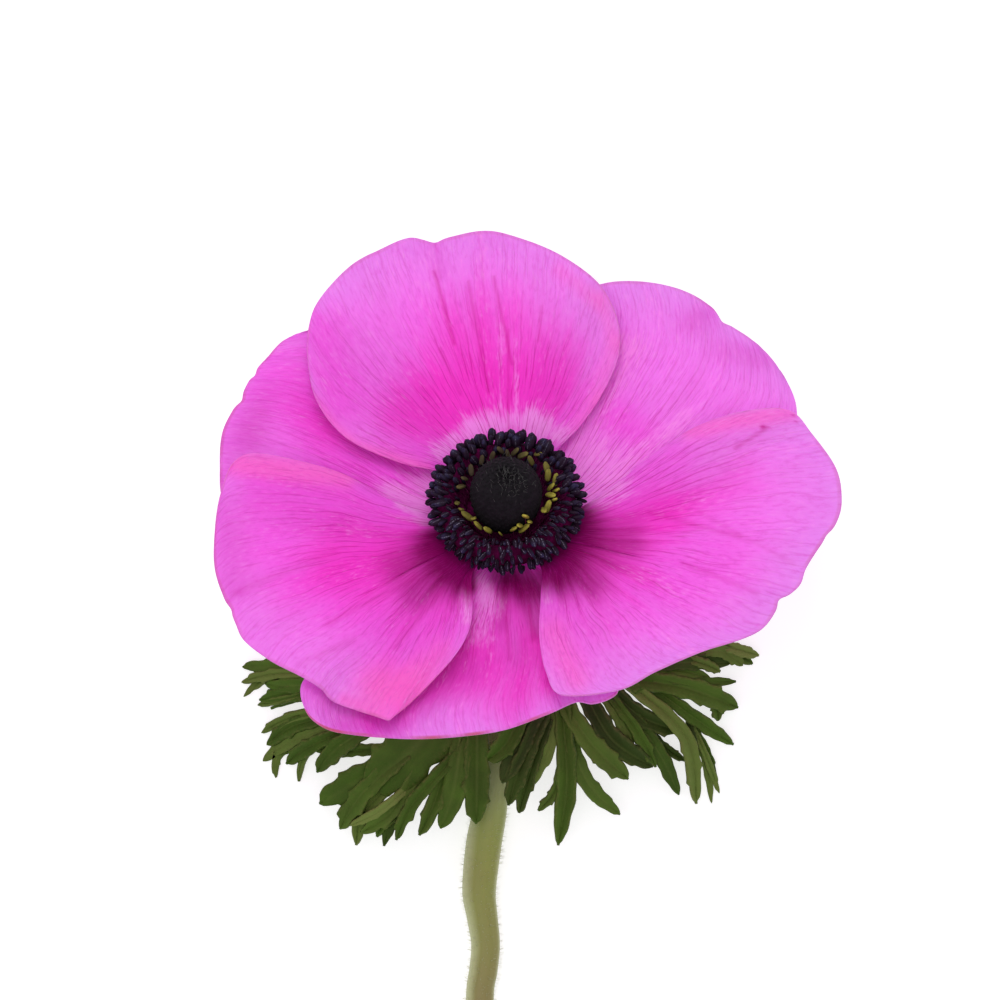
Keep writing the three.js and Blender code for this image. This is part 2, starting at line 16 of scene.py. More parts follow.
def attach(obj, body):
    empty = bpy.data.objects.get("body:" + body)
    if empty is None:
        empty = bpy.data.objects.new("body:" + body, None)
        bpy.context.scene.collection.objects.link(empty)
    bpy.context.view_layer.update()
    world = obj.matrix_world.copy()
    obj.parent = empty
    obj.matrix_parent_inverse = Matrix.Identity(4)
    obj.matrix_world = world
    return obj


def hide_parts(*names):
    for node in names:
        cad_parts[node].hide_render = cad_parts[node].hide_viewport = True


bl_info = {
    "name": "Cut Anemone",
    "version": (1, 0, 0),
    "blender": (4, 5, 0),
    "location": "View3D > Sidebar > Anemone",
    "description": "Builds a cut anemone flower round its packed frame",
    "category": "Add Mesh",
}

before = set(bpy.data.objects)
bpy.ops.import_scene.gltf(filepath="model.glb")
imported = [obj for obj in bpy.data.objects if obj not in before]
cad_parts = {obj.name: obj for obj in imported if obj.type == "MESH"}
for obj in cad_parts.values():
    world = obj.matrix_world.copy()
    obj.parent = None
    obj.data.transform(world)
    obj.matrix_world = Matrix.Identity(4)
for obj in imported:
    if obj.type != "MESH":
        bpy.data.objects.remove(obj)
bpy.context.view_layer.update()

MM = 0.001
TAU = 2 * math.pi
SEAM_GAP = 1e-7

# ---------------------------------------------------------------- sizes, as in the source

BLOOM_PLACE = (-2.84, 38.7)
BLOOM_HEIGHT = 14.05
BLOOM_TILT = math.radians(32)
SIN_TILT = math.sin(BLOOM_TILT)
COS_TILT = math.cos(BLOOM_TILT)

SOLID_THICKNESS = 0.7  # of a petal in the frame
ROOT_RADIUS = 4.5
ROOT_HALF_ANGLE = 48
INNER_LIFT = 0.3
OUTER_LIFT = -1.0
BOWL_DEPTH = 6.5
BOWL_START = 5
BOWL_SPAN = 35

PISTIL_RADIUS = 4.75
PISTIL_BOTTOM = 1.3
PISTIL_WIDEST = 6.3
PISTIL_TOP = 10.8
PISTIL_TAPER = 6.9

STEM_FLAT = math.cos(math.pi / 10)
STEM_CUT_SLOPE = 0.5
NECK_START = 2.4
NECK_RADIUS = 2.1
BRACT_NODE = (-0.5, -13.3)
BRACT_REACH = 34

# ---------------------------------------------------------------- petals

# Stains are soft brush strokes of several kinds: start, end, radius and strength. Some kinds paint
# light and shade as well as colour: the dark base carries the stamen ring's shadow, the warm rim
# is a painted highlight, the pale kind also lifts shade and the dull kind is painted shade. The
# outer petals reach a little further under their neighbours than the frame's do
PETALS = [
    {
        "name": "petal_inner_top",
        "azimuth": 90,
        "lift": INNER_LIFT,
        "cup": 1.9,
        "ripple": 0.3,
        "phase": 0.4,
        "shoulders": (4, 17),
        "outline": [
            (-7.8, 5.7), (-13.8, 7.2), (-20.6, 10.3), (-24.4, 14.9), (-25.8, 20.3), (-25.6, 25.2),
            (-24.2, 28.6), (-20.3, 32.8), (-16.4, 35.0), (-12.7, 36.5), (-9.4, 36.2), (-3.4, 37.4),
            (0.8, 36.8), (7.0, 34.3), (12.2, 30.4), (14.6, 25.5), (14.6, 21.2), (12.7, 16.5),
            (9.6, 11.9), (6.5, 8.6),
        ],
        "glow": 1,
        "margin": 0.6,
        "rim": 0.25,
        "nicks": [(-9.3, 36.3, 0.35, 0.9)],
        "stains": {
            "hot": [
                ((-7.6, 14.8), (4.6, 16.0), 5.2, 0.8), ((-3.4, 19.0), (2.0, 21.0), 6.6, 0.5),
                ((-4.0, 26.0), (0.8, 27.0), 5.2, 0.3), ((-8.2, 14.2), (-0.4, 17.5), 2.4, 0.6),
                ((7.5, 18.0), (8.5, 22.0), 3.4, 0.3), ((-12.0, 15.5), (-7.0, 23.0), 6.0, 0.3),
                ((-13.8, 12.7), (-8.6, 13.4), 3.8, 0.45),
            ],
            "pale_and_lit": [
                ((-8.6, 8.6), (-3.4, 11.9), 1.7, 0.8), ((-3.4, 11.9), (3.1, 12.4), 1.8, 0.85),
                ((3.1, 12.4), (9.0, 9.8), 1.9, 0.85), ((-0.8, 13.0), (-0.6, 25.0), 0.5, 0.5),
                ((1.4, 13.0), (1.2, 23.0), 0.5, 0.5),
            ],
            # Painted highlights along the thin rims
            "lit_rim": [
                ((12.2, 28.3), (14.6, 23.1), 1.6, 0.45), ((14.6, 22.5), (12.2, 15.3), 1.7, 0.5),
                ((12.2, 15.3), (8.1, 10.1), 1.2, 0.55), ((-25.3, 15.3), (-20.9, 10.1), 1.1, 0.6),
                ((-20.9, 9.5), (-10.5, 6.2), 1.2, 0.8), ((7.0, 32.2), (12.0, 28.3), 1.6, 0.4),
            ],
            # Painted shade of a fold near the nick
            "shade_and_grain": [
                ((-9.2, 35.5), (-8.6, 32.2), 1.1, 0.3),
            ],
            "glow": [
                ((-23.9, 23.5), (-21.5, 15.3), 4.4, 0.75), ((-17.0, 22.0), (-8.0, 27.0), 6.0, 0.2),
            ],
            "line": [
                ((0.3, 11.4), (0.3, 24.4), 0.2, 0.35), ((-9.3, 32.0), (-6.7, 22.6), 0.24, 0.5),
                ((-4.9, 30.7), (-2.3, 16.3), 0.24, 0.42), ((-1.6, 31.3), (0.8, 20.0), 0.24, 0.45),
                ((-8.6, 22.0), (-6.0, 16.0), 0.2, 0.3), ((4.6, 27.5), (4.2, 23.0), 0.18, 0.3),
            ],
        },
    },
    {
        "name": "petal_inner_left",
        "azimuth": 210,
        "lift": INNER_LIFT,
        "cup": 1.9,
        "ripple": 0.3,
        "phase": 1.7,
        "shoulders": (4, 19),
        "outline": [
            (-4.2, -6.8), (-4.3, -11.0), (-4.9, -14.8), (-7.3, -18.6), (-12.2, -23.8), (-14.5, -25.7),
            (-15.2, -26.2), (-16.2, -25.9), (-22.1, -23.9), (-24.0, -22.1), (-26.6, -20.5),
            (-30.5, -18.5), (-33.9, -15.9), (-35.2, -13.4), (-36.6, -10.3),
            (-37.8, -6.5), (-37.8, -1.6), (-37.1, 3.0), (-35.6, 6.9), (-32.9, 8.4), (-26.8, 7.4),
            (-20.9, 5.6), (-15.7, 2.7), (-11.2, 0.9), (-7.3, 0.3),
        ],
        "glow": 1,
        "margin": 0.15,
        "rim": 0.3,
        "nicks": [(-35.4, -11.6, 0.5, 0.8)],
        "stains": {
            "hot": [
                ((-8.6, -2.9), (-21.5, -5.5), 4.8, 0.7), ((-10.0, -6.0), (-17.0, -9.0), 5.5, 0.4),
                ((-22.9, -6.5), (-28.1, -10.7), 6.5, 0.3), ((-20.9, 2.2), (-30.7, 2.6), 4.5, 0.3),
                ((-14.5, -21.5), (-13.6, -24.0), 3.6, 0.6), ((-7.0, -10.5), (-12.0, -14.5), 4.0, 0.45),
            ],
            "pale_and_lit": [
                ((-5.4, -9.5), (-5.0, -13.2), 0.9, 0.7), ((-13.8, 1.9), (-9.2, -0.8), 1.3, 0.85),
            ],
            # Dark wine base, with painted shadow of the stamen ring over it
            "wine_and_shadow": [
                ((-8.8, -3.8), (-4.8, -7.6), 3.1, 0.97), ((-9.0, -5.0), (-14.0, -6.2), 3.6, 0.42),
                ((-7.0, -7.5), (-11.5, -10.0), 3.4, 0.42),
            ],
            # Painted highlights along the rims and the raised lower tip
            "lit_rim": [
                ((-35.6, 7.3), (-20.9, 5.5), 1.9, 0.95), ((-16.0, -22.5), (-12.8, -22.5), 4.0, 0.98),
                ((-20.9, -23.7), (-15.7, -25.6), 1.0, 0.6), ((-11.5, -21.5), (-8.5, -17.5), 2.4, 0.5),
            ],
            # Painted shade of folds near the far margin
            "shade_and_grain": [
                ((-36.5, -1.0), (-35.5, -9.0), 3.0, 0.4),
            ],
            "glow": [
                ((-31.5, 4.2), (-14.0, 0.6), 4.6, 0.75), ((-30.0, -4.0), (-17.0, -13.0), 6.5, 0.65),
                ((-13.5, -20.0), (-9.0, -14.0), 4.5, 0.6),
            ],
            "line": [
                ((-22.5, -4.5), (-35.0, -9.8), 0.7, 0.18), ((-12.0, -7.8), (-23.0, -13.8), 0.5, 0.24),
                ((-8.2, -9.4), (-14.5, -17.0), 0.4, 0.26), ((-20.0, -16.0), (-27.0, -19.0), 0.6, 0.16),
            ],
        },
    },
    {
        "name": "petal_inner_right",
        "azimuth": 330,
        "lift": INNER_LIFT,
        "cup": 1.9,
        "ripple": 0.35,
        "phase": 2.9,
        "shoulders": (6, 20),
        "outline": [
            (6.5, 0.5), (10.3, 1.7), (14.8, 4.8), (20.0, 9.0), (25.2, 12.1), (31.1, 13.9),
            (36.8, 14.0), (39.8, 10.9), (42.9, 6.4), (43.6, 2.3), (42.9, -0.6), (41.2, -3.0),
            (39.0, -6.4), (38.1, -8.7), (35.8, -10.9), (32.6, -14.8), (25.2, -17.4), (19.4, -19.9),
            (14.6, -22.3), (7.3, -22.9), (5.2, -20.0), (4.3, -15.2), (4.5, -10.0), (4.4, -6.1),
        ],
        "glow": 0.9,
        "margin": 0.7,
        "rim": 0.3,
        "nicks": [(41.2, -1.7, 0.7, 0.7), (35.9, -10.9, 0.5, 0.8)],
        "stains": {
            "hot": [
                ((11.5, -1.6), (20.0, 0.2), 4.0, 0.7), ((21.0, 1.2), (30.4, 5.0), 4.5, 0.4),
                ((11.0, -4.5), (16.0, -7.0), 5.0, 0.45), ((9.6, -7.5), (12.2, -13.9), 4.6, 0.35),
            ],
            # The second stroke is painted light that lifts the ring's shade off the upper edge
            "pale_and_lit": [
                ((5.2, -8.2), (5.4, -10.8), 0.8, 0.6), ((9.4, 1.4), (14.8, 4.0), 2.0, 0.75),
            ],
            # Dark wine base, with painted shadow of the stamen ring over it
            "wine_and_shadow": [
                ((9.2, -0.8), (5.6, -6.6), 3.4, 0.97), ((9.0, -3.0), (16.0, -3.0), 3.8, 0.52),
                ((7.4, -7.2), (11.5, -8.6), 3.4, 0.5),
            ],
            # Painted highlights along the upper rim and the lower-left corner
            "lit_rim": [
                ((23.9, 11.4), (36.9, 13.8), 1.6, 0.7), ((6.2, -14.9), (9.0, -20.8), 2.6, 0.6),
            ],
            "glow": [
                ((17.0, -10.0), (28.0, -6.0), 6.0, 0.5), ((13.0, 3.0), (22.0, 7.5), 3.0, 0.4),
                ((7.0, -12.0), (9.0, -18.0), 3.6, 0.4),
            ],
            "line": [
                ((29.8, 9.0), (34.1, 11.7), 0.22, 0.5), ((33.3, 11.7), (33.5, 11.8), 0.28, 0.9),
                ((37.3, 13.3), (37.4, 13.3), 0.2, 0.8), ((37.7, 12.4), (37.8, 12.4), 0.2, 0.7),
                ((25.2, 0.6), (37.3, -6.0), 0.35, 0.16), ((18.7, 0.6), (30.4, -2.5), 0.35, 0.25),
                ((23.0, -5.9), (32.6, -9.8), 0.4, 0.22),
            ],
        },
    },
    {
        "name": "petal_outer_left",
        "azimuth": 150,
        "lift": OUTER_LIFT,
        "cup": -0.5,
        "ripple": 0.3,
        "phase": 0.9,
        "shoulders": (4, 12),
        "outline": [
            (-6.4, -3.2), (-15.1, -4.4), (-25.5, -3.4), (-33.3, -0.6), (-36.7, 2.1), (-37.2, 6.9),
            (-36.8, 11.4), (-34.6, 15.6), (-33.0, 18.6), (-31.0, 21.0), (-28.8, 23.2), (-25.7, 24.4),
            (-20.9, 25.2), (-15.7, 23.3), (-11.2, 17.9), (-7.7, 10.1), (-4.9, 5.9),
        ],
        "glow": 0.8,
        "margin": 0.2,
        "rim": 0.35,
        "nicks": [(-34.8, 15.4, 0.35, 0.8), (-32.9, 18.7, 0.3, 0.6)],
        "stains": {
            # The first stroke saturates the pink in the shade under the top petal's lower-left edge,
            # painted in for light that passes through that petal
            "hot": [
                ((-22.9, 11.4), (-13.8, 6.2), 3.9, 0.25), ((-26.8, 15.3), (-22.9, 11.4), 3.9, 0.35),
            ],
            # Pale base, and painted light that lifts the stamen ring's shade beside it
            "pale_and_lit": [
                ((-14.5, 3.6), (-10.4, 1.6), 2.2, 0.8), ((-9.8, 6.0), (-9.6, 1.0), 2.2, 0.9),
            ],
            # Painted shade of folds near the outer margin
            "shade_and_grain": [
                ((-36.0, 3.0), (-34.5, 12.0), 3.0, 0.28), ((-33.3, 11.4), (-31.7, 15.3), 2.4, 0.4),
            ],
            "glow": [
                ((-29.0, 17.0), (-16.0, 4.5), 6.0, 0.75),
            ],
        },
    },
    {
        "name": "petal_outer_right",
        "azimuth": 30,
        "lift": OUTER_LIFT,
        "cup": -0.5,
        "ripple": 0.35,
        "phase": 2.2,
        "shoulders": (3, 11),
        "outline": [
            (2.6, 6.3), (3.1, 12.7), (4.4, 21.8), (7.0, 27.7), (12.2, 30.4), (17.4, 30.8),
            (22.6, 29.8), (26.5, 27.7), (28.5, 25.6), (33.0, 22.4), (36.3, 18.2), (37.8, 14.3),
            (37.2, 10.1), (33.7, 6.5), (25.2, 1.4), (14.8, -2.8), (6.6, -2.8),
        ],
        "glow": 0.3,
        "margin": 0.8,
        "rim": 0.25,
        "nicks": [(28.4, 25.8, 0.3, 0.9)],
        "stains": {
            # Pale base beside the ring, and painted light that lifts the shade along the top petal's right
            # edge and the right inner petal's upper edge
            "pale_and_lit": [
                ((9.6, 8.4), (13.5, 5.5), 3.4, 0.8), ((9.6, 7.0), (10.2, 2.6), 2.2, 0.85),
                ((14.5, 7.0), (23.0, 12.5), 2.4, 0.55), ((10.5, 12.0), (15.8, 22.0), 2.4, 0.75),
            ],
            # Painted shade in two folds of the margin
            "shade_and_grain": [
                ((24.4, 25.4), (26.0, 26.5), 2.0, 0.4), ((28.6, 21.6), (33.9, 20.7), 1.8, 0.35),
            ],
            "glow": [
                ((14.0, 13.2), (18.0, 10.0), 3.0, 0.7),
            ],
        },
    },
    {
        "name": "petal_outer_bottom",
        "azimuth": 270,
        "lift": OUTER_LIFT,
        "cup": -0.4,
        "ripple": 0.3,
        "phase": 1.2,
        "shoulders": (4, 15),
        "outline": [
            (4.6, -4.4), (9.4, -7.6), (13.6, -12.6), (14.6, -18.5), (14.6, -22.2), (13.3, -23.5),
            (11.2, -24.1), (9.0, -23.9), (5.5, -25.4), (-0.1, -27.4), (-6.0, -28.3), (-12.5, -28.6),
            (-19.6, -28.1), (-23.5, -27.2), (-25.9, -25.0), (-26.4, -21.3), (-22.2, -17.8),
            (-15.6, -11.2), (-9.4, -6.6), (-4.6, -4.4),
        ],
        "glow": 1,
        "margin": 0.5,
        "rim": 0.85,
        "nicks": [],
        "stains": {
            # The third stroke is darker magenta along the left inner petal's edge, painted shadow of that
            # edge
            "hot": [
                ((1.0, -12.0), (1.8, -21.0), 5.5, 0.6), ((-5.0, -18.0), (-1.0, -24.0), 5.0, 0.4),
                ((-4.5, -18.0), (-17.0, -25.5), 3.0, 0.85), ((4.2, -16.0), (6.0, -21.0), 1.6, 0.8),
            ],
            "pale_and_lit": [
                ((-3.2, -8.2), (-1.6, -11.0), 1.5, 0.7), ((-2.4, -11.0), (-3.4, -15.5), 1.6, 0.55),
            ],
            # Dark wine base, with painted shadow of the stamen ring and of the right inner petal's edge
            "wine_and_shadow": [
                ((0.2, -8.4), (4.8, -9.4), 2.4, 0.76), ((2.4, -10.0), (4.2, -15.0), 1.7, 0.5),
                ((-0.6, -9.5), (-0.2, -14.0), 1.5, 0.3), ((-5.0, -7.4), (-4.8, -9.0), 1.2, 0.8),
            ],
            # Painted shade in folds, at the left end and under the left inner petal's edge
            "shade_and_grain": [
                ((-20.9, -27.0), (-14.5, -27.4), 2.0, 0.5), ((-1.0, -14.0), (1.0, -18.0), 2.4, 0.4),
                ((-24.0, -22.5), (-19.0, -26.0), 3.0, 0.4), ((-5.0, -19.5), (-13.5, -24.5), 3.0, 0.6),
            ],
            "line": [
                ((0.0, -13.0), (0.4, -18.5), 0.2, 0.4), ((3.0, -11.5), (3.5, -16.0), 0.2, 0.45),
            ],
        },
    },
]

# ---------------------------------------------------------------- green parts

STEM_COURSE = [
    (13.3, -0.5, 2.15), (21, -1.4, 2.2), (29, -1.95, 2.2), (37, -2.0, 2.2), (42.5, -2.9, 2.32),
    (48.4, -3.5, 2.2), (51.6, -3.15, 2.02), (55.5, -2.65, 1.88), (59, -2.95, 1.85),
    (62.7, -3.4, 1.82), (75, -3.3, 1.9), (92, -1.9, 1.95), (107, -1.6, 1.95), (115, -1.9, 1.95),
]

# A rib is its root, middle, tip and width. A lobe is its tone, its level in the pile, its
# width, root, middle and tip. The tone paints a lobe lighter or darker: partly its own green,
# partly painted light and shade by how the lobe lies
BRACTS = [
    {
        "name": "bract_left",
        "over": 0.6,
        "arch": 3.6,
        "droop": 3.8,
        "ribs": [
            ((-3.2, -13.6), (-13.8, -17.6), (-25.5, -19.5), 2.4),
            ((-3.3, -14.3), (-13.8, -19.8), (-25.0, -22.4), 2.6),
            ((-3.4, -15.0), (-11.2, -21.6), (-21.5, -25.8), 2.6),
            ((-3.6, -15.6), (-8.5, -20.5), (-16.0, -25.8), 2.4),
        ],
        "lobes": [
            (0.1, 1, 1.7, (-23, -19.5), (-30, -19.3), (-34.4, -19.4)),
            (0.5, 2, 1.3, (-23, -20.3), (-30, -20.3), (-34.5, -21.4)),
            (0.4, 0, 1.0, (-27, -20.2), (-31.5, -21), (-34.2, -23.3)),
            (0, 2, 1.9, (-21, -21.2), (-28, -21.8), (-31.3, -21.6)),
            (-0.1, 1, 2.0, (-21, -22.2), (-28, -22.9), (-32.1, -23.7)),
            (0.3, 0, 0.9, (-26.5, -23), (-30, -23.8), (-32.4, -24.4)),
            (0.1, -1, 0.8, (-21, -23), (-27, -23.6), (-30.6, -24.8)),
            (0.35, 1, 1.3, (-21, -24.4), (-28, -26), (-31.9, -28)),
            (-0.2, 2, 2.0, (-21, -25.5), (-27.5, -27), (-31.2, -29.6)),
            (0.4, 1, 1.9, (-21, -26.6), (-28, -29), (-31.7, -31.7)),
            (0.3, 0, 1.2, (-23, -28.3), (-29.3, -30.5), (-30, -33.9)),
            (-0.1, 2, 1.9, (-21, -27.6), (-26, -30), (-28.6, -32)),
            (0.35, 3, 0.9, (-21, -27.7), (-26, -30.8), (-27, -34.3)),
            (-0.2, 2, 2.5, (-16, -26), (-22, -30), (-24.6, -33.1)),
            (0.1, 1, 1.7, (-17, -30.2), (-22, -30.3), (-25, -29.9)),
            (-0.6, 0, 1.9, (-20.5, -27.6), (-22.8, -28.3), (-24.4, -28.9)),
        ],
    },
    {
        "name": "bract_middle",
        "over": 2.85,
        "arch": 2.2,
        "droop": 2.6,
        "ribs": [
            ((-0.9, -13.6), (-4.7, -20.8), (-12.4, -27.4), 3.0),
            ((-0.5, -13.6), (-3.4, -20.2), (-6.6, -27.0), 2.8),
            ((-0.2, -13.6), (0.2, -19.0), (1.2, -25.0), 2.4),
        ],
        "lobes": [
            (0, 0, 3.6, (-11, -29.8), (-19, -34), (-24.3, -37.2)),
            (0.1, 1, 2.5, (-13, -30.5), (-18.8, -36), (-21.6, -40.5)),
            (0.45, 0, 1.8, (-13.5, -33.4), (-18.5, -38.3), (-19.5, -42.6)),
            (0.8, 5, 1.2, (-12, -34.5), (-16.5, -38.1), (-20.3, -40)),
            (0.2, 3, 2.0, (-10.7, -32), (-15, -38.2), (-18.9, -41)),
            (-0.1, 1, 1.1, (-13.5, -38.3), (-16, -40.1), (-16.8, -41.5)),
            (-0.5, 2, 1.7, (-10.7, -32.2), (-14.5, -38.6), (-15.9, -42.7)),
            (0, 4, 1.7, (-5.3, -29.5), (-12, -37), (-14.3, -41.9)),
            (0.1, 2, 2.0, (-6, -26.5), (-9.3, -37), (-11.3, -41.3)),
            (0.05, 3, 3.1, (-5.4, -26.5), (-6.8, -35.5), (-8.5, -40.4)),
            (-0.15, 4, 3.2, (-3.8, -23.7), (-3.8, -33.5), (-3.9, -39.8)),
            (-0.2, 3, 2.6, (3.5, -22.5), (0, -29.3), (-2.6, -31.5)),
            (-0.75, 4, 3.0, (5, -22.5), (1.4, -30.3), (-0.5, -34.5)),
            (-0.6, 2, 2.4, (5.6, -23.5), (2, -32), (0.3, -37.4)),
            (-0.5, 1, 1.8, (5.5, -26), (2.8, -34), (1.7, -38.4)),
            (-0.1, 1, 7.4, (-6.6, -23.5), (-13, -31), (-18.2, -34.8)),
        ],
    },
    {
        "name": "bract_right",
        "over": 0.6,
        "arch": 3.6,
        "droop": 3.8,
        "ribs": [
            ((2.1, -13.4), (10.0, -16.6), (19.5, -18.6), 2.4),
            ((2.2, -14.0), (9.5, -18.6), (19.0, -21.6), 2.8),
            ((2.1, -14.6), (7.5, -19.6), (15.0, -23.4), 2.8),
            ((1.8, -15.2), (4.4, -19.8), (7.6, -25.2), 2.8),
        ],
        "lobes": [
            (0.5, 3, 2.2, (5.3, -22.4), (5.3, -30), (1, -36.3)),
            (0.2, 1, 1.2, (7.2, -31.5), (6.4, -35.5), (4.2, -38.1)),
            (0.05, 2, 2.5, (7.1, -22.4), (7.9, -34), (6.8, -42.6)),
            (0.15, 1, 2.1, (8, -27.4), (10.5, -34.3), (14.8, -38.6)),
            (0.2, 4, 2.7, (7.3, -23.5), (11, -29.2), (15.9, -34)),
            (-0.7, 2, 2.8, (10.4, -23), (13.8, -28.8), (19.1, -32.4)),
            (0.4, 4, 1.5, (12.3, -22.6), (14.8, -26.4), (16.6, -30.2)),
            (0, 3, 1.5, (13, -22.4), (16.8, -27.4), (19.5, -32.4)),
            (-0.65, 2, 2.4, (13.4, -22), (17.5, -25.8), (22.8, -27.8)),
            (-0.2, 1, 2.0, (16.4, -25.4), (20, -30.7), (22.5, -36)),
            (-0.5, 0, 1.1, (18, -26.7), (20.5, -29.7), (23.3, -31.6)),
            (0.55, 5, 1.9, (15.7, -21.3), (23.3, -28.3), (24.8, -37.2)),
            (0.45, 4, 1.0, (23.7, -26.4), (26, -31.7), (26.8, -37.2)),
            (0.5, 3, 0.9, (24.3, -27.1), (26.3, -31.7), (27.8, -35.9)),
            (-0.1, 2, 0.8, (24, -26.3), (26.2, -30.2), (27.4, -34.1)),
            (-0.5, 3, 1.1, (23.7, -26.7), (24.4, -29.3), (24.4, -31.6)),
            (0, 3, 1.9, (19, -22), (24.8, -26.2), (29.6, -29.5)),
            (0.1, 2, 2.8, (17.4, -21), (24.2, -22.3), (30.2, -24.7)),
            (-0.15, 3, 1.4, (17.7, -20), (24, -21.3), (29.9, -21.3)),
            (0.4, 1, 0.8, (25.5, -22.7), (27.5, -23.8), (29.1, -24.7)),
            (0.2, 0, 1.4, (26.3, -22.4), (27.4, -24.5), (27.6, -26.4)),
            (-0.55, 3, 2.0, (18, -19.2), (24, -18.8), (29.2, -18.9)),
            (0.2, 1, 1.6, (19.4, -19.6), (23.6, -20), (26.7, -21.1)),
            (0.4, 4, 1.3, (23.3, -18.3), (25.8, -19), (27.9, -20)),
            (0.35, 4, 1.7, (24.6, -17.4), (28.3, -17.4), (30.8, -19.2)),
            (0.1, 3, 1.4, (26.5, -16.8), (29.6, -17.5), (32.1, -19)),
            (0.8, 4, 1.5, (27.4, -16.2), (30.4, -17.2), (32.9, -17.9)),
        ],
    },
]

# ---------------------------------------------------------------- settings


def srgb(code):
    """Linear colour of a hexadecimal sRGB number"""
    channels = [((code >> shift) & 255) / 255 for shift in (16, 8, 0)]
    return tuple(c / 12.92 if c <= 0.04045 else ((c + 0.055) / 1.055) ** 2.4 for c in channels)


def scaled(colour, factor):
    return tuple(factor * channel for channel in colour)


def colour_property(name, description, default):
    return bpy.props.FloatVectorProperty(
        name=name, description=description, subtype="COLOR", size=3, min=0, max=1, default=srgb(default)
    )


def length_property(name, description, default):
    return bpy.props.FloatProperty(
        name=name, description=description, unit="LENGTH", precision=6, default=default
    )


class AnemonePetalSettings(bpy.types.PropertyGroup):
    """Sizes and colours of the petals"""

    thickness: length_property("Thickness", "Thickness of a petal in its middle", 0.36 * MM)
    lilac: colour_property("Lilac", "Outer part of a petal", 0xE872DE)
    margin: colour_property("Margin", "Pale lilac of the outermost part", 0xD488E2)
    bright: colour_property("Bright", "Lit pink of the middle of a petal", 0xF07AEA)
    warm: colour_property("Warm", "Pink of the inner half of a petal", 0xEE54D8)
    hot: colour_property("Hot", "Magenta that spreads from the base", 0xEE36C2)
    # Pale is the petals' pale streaky base and also painted light that lifts shade beside the stamen ring
    # and along edges that lie above
    pale_and_lit: colour_property("Pale", "Streaks beside the stamens", 0xF288E2)
    # Wine is the petals' dark base colour and also painted shadow that the stamen ring casts on the lower
    # petals
    wine_and_shadow: colour_property("Wine", "Dark stain at the base", 0x7C0054)
    # Salmon is a painted highlight along thin rims, where light shines through them
    lit_rim: colour_property("Salmon", "Warm rim", 0xFC64C2)
    # Dusky is painted shade, in folds and under the edges of petals that lie above; it is also the colour
    # of the fine dark grain
    shade_and_grain: colour_property("Dusky", "Dull folds", 0xC83CB0)
    dash: colour_property("Dash", "Short light streaks", 0xF8A8F0)
    vein: colour_property("Vein", "Fine radial veins", 0xB80884)
    rim: colour_property("Rim", "Dry thin margin", 0xB05048)
    back: colour_property("Back", "Silky underside", 0xDC8CD2)


class AnemoneCentreSettings(bpy.types.PropertyGroup):
    """Sizes and colours of the stamens and the pistil"""

    anther_length: length_property("Anther length", "Length of one outer anther", 1.7 * MM)
    anther_width: length_property("Anther width", "Width of one outer anther", 1.2 * MM)
    ink: colour_property("Ink", "Outer anthers", 0x1E0A20)
    # The anthers' lighter tips, with a painted sheen
    ink_tip_sheen: colour_property("Ink tip", "Light tips of the outer anthers", 0x2C2646)
    filament: colour_property("Filament", "Stalks of the stamens", 0x5E0A42)
    olive: colour_property("Olive", "Inner anthers", 0x8E8436)
    dome: colour_property("Dome", "The pistil", 0x151216)
    wool: colour_property("Wool", "Short hairs on the pistil", 0x5C5C5A)


class AnemoneGreenSettings(bpy.types.PropertyGroup):
    """Sizes and colours of the stem and the bracts"""

    leaf_thickness: length_property("Leaf thickness", "Thickness of a bract's blade", 0.42 * MM)
    leaf: colour_property("Leaf", "Upper side of the bracts", 0x426218)
    # Leaf light and leaf dark are partly the lobes' own tones and partly painted light and shade; the dark
    # also paints shade at the roots under the petals
    leaf_pale_and_lit: colour_property("Leaf light", "Ribs and light lobes of the bracts", 0x86924E)
    leaf_dark_and_shade: colour_property("Leaf dark", "Shaded lobes of the bracts", 0x1A260C)
    leaf_edge: colour_property("Leaf edge", "Worn margins of the bracts", 0x8C7C50)
    stem: colour_property("Stem", "The stem's green", 0x96A44E)
    # Painted highlights along the stem's flanks, and painted light over a stretch lying in the shade under
    # the flower and bracts
    stem_highlight: colour_property("Stem light", "The stem's silky flanks", 0xD0D6A8)
    stem_brown: colour_property("Stem brown", "The stem's lower stretch", 0x887850)
    hair_length: length_property("Hair length", "Length of the stem's hairs", 0.7 * MM)


class AnemoneStageSettings(bpy.types.PropertyGroup):
    """Floor, light and camera"""

    floor_size: length_property("Floor size", "Width of the floor", 6.0)
    camera_distance: length_property("Camera distance", "From the bloom's middle", 6.0)
    view_width: length_property("View width", "Width that the camera sees there", 0.130)


# ---------------------------------------------------------------- mesh helpers


def activate(piece):
    bpy.ops.object.select_all(action="DESELECT")
    piece.select_set(True)
    bpy.context.view_layer.objects.active = piece


def sheet(name, columns, rows):
    """A flat grid with a UV map, its vertices in rows from V = 0 and its face upwards"""
    bpy.ops.object.select_all(action="DESELECT")
    bpy.ops.mesh.primitive_grid_add(x_subdivisions=columns, y_subdivisions=rows, size=1, calc_uvs=True)
    piece = bpy.context.active_object
    piece.name = name
    piece.data.name = name
    return piece


def place_points(piece, points):
    piece.data.vertices.foreach_set("co", np.asarray(points, np.float32).ravel())
    piece.data.update()


def set_mask(piece, name, values):
    layer = piece.data.attributes.new(name, "FLOAT", "POINT")
    layer.data.foreach_set("value", np.asarray(values, np.float32).ravel())


def add_modifier(piece, name, kind, **settings):
    modifier = piece.modifiers.new(name, kind)
    for key, value in settings.items():
        setattr(modifier, key, value)
    return modifier


def apply_modifiers(piece):
    activate(piece)
    for modifier in list(piece.modifiers):
        bpy.ops.object.modifier_apply(modifier=modifier.name)


